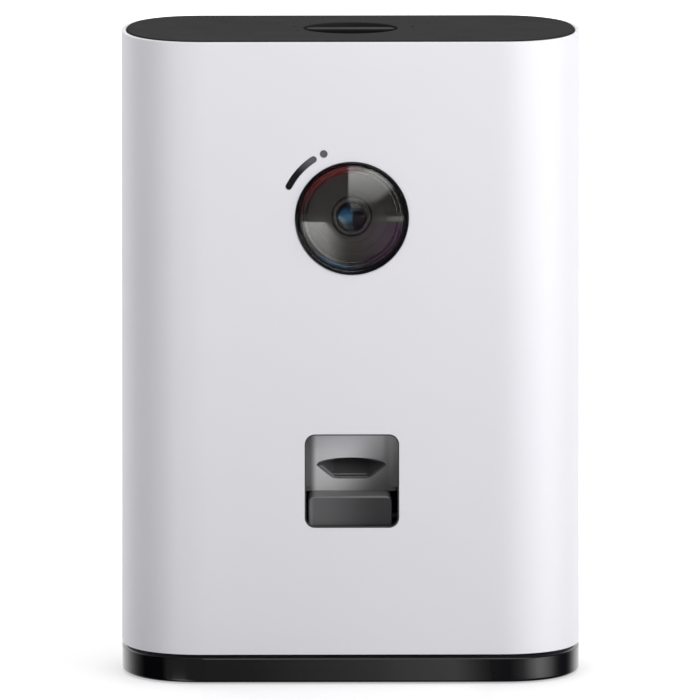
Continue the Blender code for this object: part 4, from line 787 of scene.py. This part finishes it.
def studio_lamps():
    """Soft lamps that light the case and show in no gloss."""
    # name: azimuth, elevation, distance, width, height, power
    lamps = {
        "key_right": (36, 9, 1.0, 0.40, 0.40, 2.25),
        "top_front": (0, 47, 0.46, 0.40, 0.16, 0.43),
        "edge_left": (-132, 14, 0.8, 0.20, 0.80, 1.45),
        "edge_right": (82, 5, 0.8, 0.30, 0.90, 3.6),
        "top_back": (175, 60, 1.3, 1.2, 0.8, 2.4),
    }
    aim = UPWARD * 0.14
    for name, (turn, rise, away, width, height, power) in lamps.items():
        light = bpy.data.lights.new(name, "AREA")
        light.shape, light.size, light.size_y, light.energy = "RECTANGLE", width, height, power
        towards = direction(turn, rise)
        lamp = bpy.data.objects.new(name, light)
        lamp.location = aim + towards * away
        lamp.rotation_euler = towards.to_track_quat("Z", "Y").to_euler()
        lamp.visible_camera = lamp.visible_glossy = lamp.visible_transmission = False
        bpy.context.scene.collection.objects.link(lamp)


def studio_surround():
    """White to the camera and through clear glass, the studio to gloss, and soft light from above."""
    world = bpy.data.worlds.new("studio")
    bpy.context.scene.world = world
    world.use_nodes = True
    tree = world.node_tree
    place = added(tree, "TexCoord").outputs["Generated"]
    height = added(tree, "SeparateXYZ", Vector=place).outputs["Z"]
    soft = spread(tree, height, 0.28, 0.78, 0.0, 0.8)
    path = added(tree, "LightPath").outputs
    shown = blended(tree, path["Is Glossy Ray"], soft, studio_reflected(tree, place))
    bounced = worked(tree, "MINIMUM", worked(tree, "ADD", path["Glossy Depth"], path["Diffuse Depth"]), 1)
    straight = worked(tree, "MULTIPLY", path["Is Transmission Ray"], worked(tree, "SUBTRACT", 1, bounced))
    white = worked(tree, "MAXIMUM", path["Is Camera Ray"], straight)
    feed(tree, tree.nodes["Background"].inputs["Color"], blended(tree, white, shown, (1.0, 1.0, 1.0)))


def studio_floor():
    """A pale floor that rises to white away from the object."""
    mesh = bmesh.new()
    bmesh.ops.create_grid(mesh, x_segments=2, y_segments=2, size=14)
    floor = made_object("floor", mesh)
    material, tree, shader = blank_material("floor_white")
    reach = worked(tree, "LENGTH", object_place(tree), kind="VectorMath")
    colour = blended(tree, spread(tree, reach, 0, 1, 0.1, 0.45), (0.56, 0.56, 0.57), (0.76, 0.76, 0.77))
    path = added(tree, "LightPath").outputs
    rays = [path[label] for label in ("Is Camera Ray", "Is Glossy Ray", "Is Transmission Ray")]
    lift = worked(
        tree, "MULTIPLY", combined(tree, "MAXIMUM", *rays), spread(tree, reach, 0.48, 1.0, 0.12, 0.5)
    )
    fed(
        tree, shader, Base_Color=colour, Roughness=0.6, Specular_IOR_Level=0.2, Emission_Color=(1, 1, 1),
        Emission_Strength=lift,
    )
    floor.data.materials.append(material)
    floor.visible_glossy = floor.visible_transmission = False
    return floor


def front_card():
    """A card on the floor before the base, which shows in its gloss alone."""
    left, right, near, far, level = -0.056, 0.052, -0.043, -0.130, 0.0002
    mesh = bmesh.new()
    outline_face(mesh, [(left, far, level), (right, far, level), (right, near, level), (left, near, level)])
    card = made_object("front_card", mesh)
    material, tree, shader = blank_material("card_graded")
    split = added(tree, "SeparateXYZ", Vector=object_place(tree)).outputs
    graded = ramped(
        tree, split["X"], left, right,
        (left, 0.08), (-0.036, 0.10), (-0.021, 0.24), (0.009, 0.46), (0.018, 0.64), (0.039, 0.84),
        (0.051, 0.05),
    )
    glow = worked(tree, "MULTIPLY", graded, spread(tree, split["Y"], 0, 1, far, -0.122))
    fed(tree, shader, Base_Color=(0, 0, 0), Emission_Color=(1, 1, 1), Emission_Strength=glow)
    card.data.materials.append(material)
    card.visible_camera = card.visible_diffuse = card.visible_transmission = card.visible_shadow = False
    return card


def studio():
    bpy.context.scene.view_settings.view_transform = "Standard"
    studio_lamps()
    studio_surround()
    floor, card = studio_floor(), front_card()


# Camera module

def cap_arc(radius, bulge, wall=0.0, steps=12):
    """The section of a shallow dome from its tip in front to its edge, drawn in by a wall."""
    sphere = (radius**2 + bulge**2) / (2 * bulge)
    arc = sphere - wall
    turns = [math.asin(radius / sphere) * step / steps for step in range(steps + 1)]
    return [(arc * math.sin(turn), wall - bulge + arc * (1 - math.cos(turn))) for turn in turns]


def lens_front():
    """The bezel ring and the clear dome inside it."""
    low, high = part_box("lens_bezel")
    outer, inner = LENS_RADIUS, LENS_RADIUS - 0.0009
    ring = [
        (inner, high.y), (outer, high.y), (outer, low.y + 0.0004), (outer - 0.0001, low.y + 0.0001),
        (outer - 0.0005, low.y), (inner + 0.0003, low.y + 0.0002), (inner, low.y + 0.0006),
    ]
    bezel = made_object("bezel_ring", spun(ring, LENS, BACKWARD, 128, ring=True))
    finished(bezel, "case", BEZEL_BLACK, ["lens_bezel"])
    low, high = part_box("lens_dome")
    radius, bulge, wall, steps = inner - 0.0001, high.y - low.y, 0.0010, 24
    section = cap_arc(radius, bulge, steps=steps) + cap_arc(radius, bulge, wall, steps)[::-1]
    dome = made_object("dome_cover", spun(section, LENS + BACKWARD * high.y, BACKWARD, 128))
    finished(dome, "case", DOME_CLEAR, ["lens_dome"], angle=math.radians(60))


def lens_baffle():
    """The stepped cone behind the dome, with two bright beads near its rim."""
    low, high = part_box("lens_baffle")
    y = low.y
    cone = [
        (0.0189, y), (0.0189, y + 0.0012), (0.0075, high.y), (0.0075, y + 0.0046), (0.0098, y + 0.0040),
        (0.0098, y + 0.0034), (0.0130, y + 0.0028), (0.0130, y + 0.0022), (0.0165, y + 0.0016),
        (0.0165, y + 0.0008), (0.0183, y + 0.0003),
    ]
    baffle = made_object("baffle_rings", spun(cone, LENS, BACKWARD, 128, ring=True))
    finished(baffle, "case", BAFFLE_BLACK, ["lens_baffle"])
    thick = 0.0003
    turns = [math.pi * step / 6 for step in range(12)]
    for number, reach in enumerate((0.0168, 0.0182), 1):
        bead = [(reach + thick * math.cos(turn), thick * math.sin(turn)) for turn in turns]
        wire = spun(bead, LENS + BACKWARD * (y + thick), BACKWARD, 128, ring=True)
        finished(made_object(f"baffle_bead_{number}", wire), "case", BEAD_GREY)


def lens_inside():
    """The barrel with its front element and the tilted, coated element behind that."""
    low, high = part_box("lens_barrel")
    y, outer, mouth, bore = low.y, 0.0070, 0.0056, 0.0052
    tube = [
        (mouth, y + 0.0009), (0.0058, y), (0.0066, y), (outer, y + 0.0004), (outer, high.y), (0.0030, high.y),
        (0.0030, y + 0.0085), (bore, y + 0.0085), (bore, y + 0.0032), (mouth, y + 0.0032),
    ]
    barrel = made_object("barrel_tube", spun(tube, LENS, BACKWARD, 96, ring=True))
    finished(barrel, "case", BAFFLE_BLACK, ["lens_barrel"])
    low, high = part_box("lens_glass")
    radius, bulge = 0.0053, 0.0012
    rear = high.y - low.y - bulge
    front = cap_arc(radius, bulge) + [(radius, rear), (0, rear)]
    glass = made_object("front_element", spun(front, LENS + BACKWARD * (low.y + bulge), BACKWARD, 96))
    finished(glass, "case", GLASS_COATED, ["lens_glass"])
    reach, hollow, lean = 0.0046, 0.0006, math.radians(24)
    bowl = [(radius, -along) for radius, along in cap_arc(reach, hollow)] + [(reach, 0.0004), (0, 0.0012)]
    axis = Vector((0, math.cos(lean), -math.sin(lean)))
    inner = made_object("second_element", spun(bowl, LENS + BACKWARD * (high.y + 0.0019), axis, 96))
    finished(inner, "case", BLUE_COATED)


# Front signs

def signs():
    low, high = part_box("status_light")
    bar = block_along(
        upright(sign_outline(0.0023)), LENS + BACKWARD * high.y, -BACKWARD * (high.y - low.y)
    )
    eased(bar, 0.0003, 3, lambda c: c.y < low.y + NEAR)
    finished(made_object("status_bar", bar), "case", SIGN_BLACK, ["status_light"])
    low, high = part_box("sensor_window")
    profile = rounded_profile(round_bar(0.00138, low.y, high.y), 0.0003)
    dot = made_object("sensor_dot", spun(profile, sensor_middle(), BACKWARD, 48))
    finished(dot, "case", SENSOR_GREY, ["sensor_window"])


# Window, mouth and paddle

def mouth_points(steps=24):
    """The boat-shaped mouth in the chute's back wall, as (x, z) with eased corners."""
    wide, flat, low, tip, top = 0.0131, 0.0068, 0.0742, 0.0793, 0.0820
    corners = [(-flat, low), (flat, low), (wide, tip)]
    for step in range(3, steps - 2):
        turn = math.pi * step / steps
        corners.append((wide * math.cos(turn), tip + (top - tip) * math.sin(turn)))
    corners.append((-wide, tip))
    points = []
    for before, corner, after in zip(corners[-1:] + corners, corners, corners[1:] + corners[:1]):
        here = Vector(corner)
        if (Vector(before) - here).angle(Vector(after) - here) > math.radians(165):
            points.append(corner)
        else:
            points += rounded_corner(before, corner, after, 0.0017, 4)
    return points


def chute_pocket():
    """The grey pocket behind the window, with the mouth in its back and aprons down to the paddle."""
    low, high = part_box("chute_liner")
    corner, half, back = 0.004, WINDOW_SIDE / 2, high.y - LINER_WALL

    def pocket(level, half_width, rear, radius, front):
        points = [(-half_width, front, level), (half_width, front, level)]
        for middle, start in ((half_width - radius, 0), (-half_width + radius, math.pi / 2)):
            for step in range(13):
                turn = start + math.pi / 2 * step / 12
                x, y = middle + radius * math.cos(turn), rear - radius + radius * math.sin(turn)
                points.append((x, y, level))
        return points

    outside = pocket(low.z, half + LINER_WALL, high.y, corner + LINER_WALL, low.y)
    liner = made_object("chute_pocket", block_along(outside, ORIGIN, UPWARD * (high.z - low.z)))
    inside = pocket(low.z - OVER, half, back, corner, low.y - OVER)
    hollow = block_along(inside, ORIGIN, UPWARD * (high.z - LINER_WALL - low.z + OVER))
    mouth = block_along(upright(mouth_points(), back - OVER), ORIGIN, BACKWARD * 2 * OVER)
    carved(liner, [hollow, mouth])
    aprons = [(-half + 0.0008, half - 0.0008, back, high.y, 0.0016)]
    for side in (-1, 1):
        middle, reach = side * (half + LINER_WALL / 2), LINER_WALL / 2 - 0.00005
        aprons.append((middle - reach, middle + reach, low.y + 0.0001, high.y - 0.006, 0.0022))
    joins = []
    for left, right, front, rear, drop in aprons:
        corners = ((left, front), (right, front), (right, rear), (left, rear))
        outline = [(x, y, low.z - drop) for x, y in corners]
        joins.append(block_along(outline, ORIGIN, UPWARD * (drop + 0.0006)))
    carved(liner, joins=joins)

    def round_the_mouth(c):
        return abs(c.y - back) < NEAR and abs(c.x) < 0.0132 and 0.0740 < c.z < 0.0825

    def under_the_roof(c):
        return abs(c.z - high.z + LINER_WALL) < NEAR and c.y > low.y + 0.0001

    reworked(liner, (0.0003, 3, round_the_mouth), (0.0012, 5, under_the_roof))
    finished(liner, "case", LINER_GREY, ["chute_liner"])


def mouth_ledges():
    """Fine ledges along the mouth's lower edges, in a grey darker than the pocket's as painted shade."""
    ledges = bmesh.new()
    bars = [
        [(-0.0068, 0.0745), (0.0062, 0.0745), (0.0062, 0.0749), (-0.0068, 0.0749)],
        [(-0.0068, 0.0756), (0.0058, 0.0756), (0.0058, 0.0760), (-0.0068, 0.0760)],
        [(-0.0121, 0.0790), (-0.0066, 0.0743), (-0.0062, 0.0753), (-0.0108, 0.0792)],
    ]
    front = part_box("chute_liner")[1].y - 0.0005
    for bar in bars:
        pushed(ledges, outline_face(ledges, upright(bar, front)), BACKWARD * 0.0004)
    outward(ledges)
    finished(made_object("mouth_ledges", ledges), "case", SHADED_LEDGE_GREY)


def window_shade_rim():
    """A dark edge inside the window's opening, painted shade that stands for the shade line round the
    window's edge.
    """
    half, wide, deep = WINDOW_SIDE / 2, 0.0005, 0.0019
    middle, depth = UPWARD * (WINDOW_LOW + half), FRONT + SHELL_WALL
    edging = upright(rounded_rectangle(half, half, WINDOW_CORNER), depth - deep)
    opening = upright(rounded_rectangle(half - wide, half - wide, WINDOW_CORNER - wide), depth - 0.003)
    # This dark rim is painted shade inside the window's opening.
    seal = made_object("window_shade_rim", block_along(edging, middle, BACKWARD * deep))
    carved(seal, [block_along(opening, middle, BACKWARD * OVER)])
    finished(seal, "case", SHADE_RIM_GREY)


def paddle():
    low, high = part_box("toss_paddle")
    axis_y, axis_z = -0.0358, 0.062
    mesh = bmesh.new()
    bmesh.ops.create_cube(mesh, size=1)
    bmesh.ops.scale(mesh, vec=high - low, verts=mesh.verts)
    bmesh.ops.translate(mesh, vec=(low + high) / 2, verts=mesh.verts)
    slope_start = Vector((0, axis_y + 0.0034, low.z))
    slope_end = Vector((0, high.y, high.z - 0.005))
    along = slope_end - slope_start
    across = Vector((0, along.z, -along.y))
    geometry = mesh.verts[:] + mesh.edges[:] + mesh.faces[:]
    cut = bmesh.ops.bisect_plane(mesh, geom=geometry, plane_co=slope_start, plane_no=across, clear_outer=True)
    edges = [g for g in cut["geom_cut"] if isinstance(g, bmesh.types.BMEdge)]
    bmesh.ops.contextual_create(mesh, geom=edges)
    outward(mesh)
    sides = [
        edge
        for edge in mesh.edges
        if all(v.co.z > high.z - NEAR for v in edge.verts)
        and abs(edge.verts[0].co.x - edge.verts[1].co.x) < NEAR
    ]
    bevelled(mesh, sides, 0.0025, 8)
    eased(mesh, 0.0007, 4)
    thing = made_object("paddle_block", mesh)
    bore = round_bar(0.0017, -0.02, 0.02)
    carved(thing, [spun(bore, Vector((0, axis_y, axis_z)), SIDEWAYS, 32)])
    finished(thing, "paddle", PADDLE_GREY, ["toss_paddle"])


# Treat store and the lid's inside

def treat_store():
    """The tub behind the camera and the funnel that holds it and leads to the drum."""
    wall, top, low = 0.0018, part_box("hopper")[1].z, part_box("hopper_funnel")[0].z
    back, front, inside_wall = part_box("hopper")[1].y, -0.006, 0.0049
    middle, half = (back + front) / 2, (back - front) / 2
    tub_low, neck, shoulder, tip = 0.1683, 0.190, 0.216, 0.122

    def case(inward, level):
        reach = END_REACH - inside_wall
        return inward, level, CASE_WIDTH / 2 - inside_wall, CASE_DEPTH / 2 - inside_wall, reach

    def store(inward, level):
        return inward, level, 0.066, half, 0.018, middle

    def throat(inward, level):
        return inward, level, 0.0146, 0.0113, 0.004, 0.016

    outside = [case(0, top), case(0, shoulder), store(0, neck), store(0, tub_low)]
    inside = [case(wall, top), case(wall, shoulder), store(wall, neck), store(wall, tub_low)]
    tub = made_object("treat_tub", walled(outside + inside[::-1]))
    shelf_half, shelf_deep, shelf_thick, shelf_top = 0.009, 0.0075, 0.0025, 0.222
    inner_y = CASE_DEPTH / 2 - SHELL_WALL - 0.0025 - wall
    shelf = rounded_rectangle(shelf_half, shelf_deep / 2 + wall / 4, 0.001, 4)
    shelves = []
    for side in (-1, 1):
        out = side * (inner_y - shelf_deep / 2 + wall / 4)
        outline = [(a, b + out, shelf_top - shelf_thick) for a, b in shelf]
        shelves.append(block_along(outline, ORIGIN, UPWARD * shelf_thick))
    carved(tub, joins=shelves)
    finished(tub, "case", STORE_CLEAR, ["hopper"])

    collar, collar_top, flange, floor = 0.0015, 0.173, 0.0065, low + 0.002
    walls = [
        store(-collar, collar_top), store(-collar, 0.166), store(0, 0.166), throat(0, tip), throat(0, floor),
        throat(-flange, floor), throat(-flange, low), throat(wall, low), throat(wall, tip),
        store(wall, 0.168), store(-GAP, 0.168), store(-GAP, collar_top),
    ]
    funnel = made_object("store_funnel", walled(walls))
    finished(funnel, "case", STORE_CLEAR, ["hopper_funnel"])


def lid_inside():
    """The plug under the lid and the seal in its groove."""
    low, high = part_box("lid_plug")
    seal_low, seal_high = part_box("lid_seal")
    shoulder, outer, groove, inner = seal_high.z + GAP, 0.0076, 0.0092, 0.0108
    groove_low = low.z + 0.0028
    plug = made_object("plug_tray", walled([
        (outer, low.z), (outer, groove_low), (groove, groove_low), (groove, shoulder), (outer, shoulder),
        (outer, high.z), (inner, high.z), (inner, low.z),
    ]))
    tray = bmesh.new()
    lowered(tray, plan(tray, inner - 0.0005, low.z), low.z + 0.002)
    outward(tray)
    bore = round_bar(SHAFT_BORE, low.z - OVER, low.z + OVER)
    carved(plug, [spun(bore, ORIGIN, UPWARD, 48)], joins=[tray])
    finished(plug, "lid", INNER_BLACK, ["lid_plug"])
    ring = walled([(0.0070, seal_low.z), (0.0070, seal_high.z), (0.0088, seal_high.z), (0.0088, seal_low.z)])
    eased(ring, 0.0008, 4)
    finished(made_object("seal_ring", ring), "lid", RUBBER_BLACK, ["lid_seal"])


def carried_over():
    """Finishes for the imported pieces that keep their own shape."""
    finishes = {
        FRAME_BLACK: ("inner_frame", "drum_cover"),
        HOUSING_GREY: ("drum_housing",),
        STEEL: (
            "drum_motor", "toss_motor", "drum_shaft", "cam_screw",
            "base_screw_1", "base_screw_2", "base_screw_3", "base_screw_4",
        ),
        BRONZE: ("drum_bush_left", "drum_bush_right", "paddle_bush_left", "paddle_bush_right"),
        GEAR_WHITE: ("drum_gear", "drum_pinion", "paddle_gear", "toss_pinion", "lock_cam"),
        BOARD_GREEN: ("main_board", "rear_board", "camera_board", "indicator_board"),
        INNER_BLACK: ("camera_housing", "power_inlet", "reset_switch", "speaker"),
        DRUM_GREY: ("treat_drum",),
        RUBBER_BLACK: ("foot_pad",),
        KNOB_BLACK: ("reset_button",),
        BLACKED_STEEL: ("paddle_shaft",),
        BAFFLE_BLACK: ("infrared_lamp_left", "infrared_lamp_right"),
    }
    for material, names in finishes.items():
        for name in names:
            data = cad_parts[name].data
            data.materials.clear()
            data.materials.append(material)


photograph_camera()
studio()
carried_over()
case_shell()
base()
lid()
lock()
lens_front()
lens_baffle()
lens_inside()
signs()
chute_pocket()
mouth_ledges()
window_shade_rim()
paddle()
treat_store()
lid_inside()
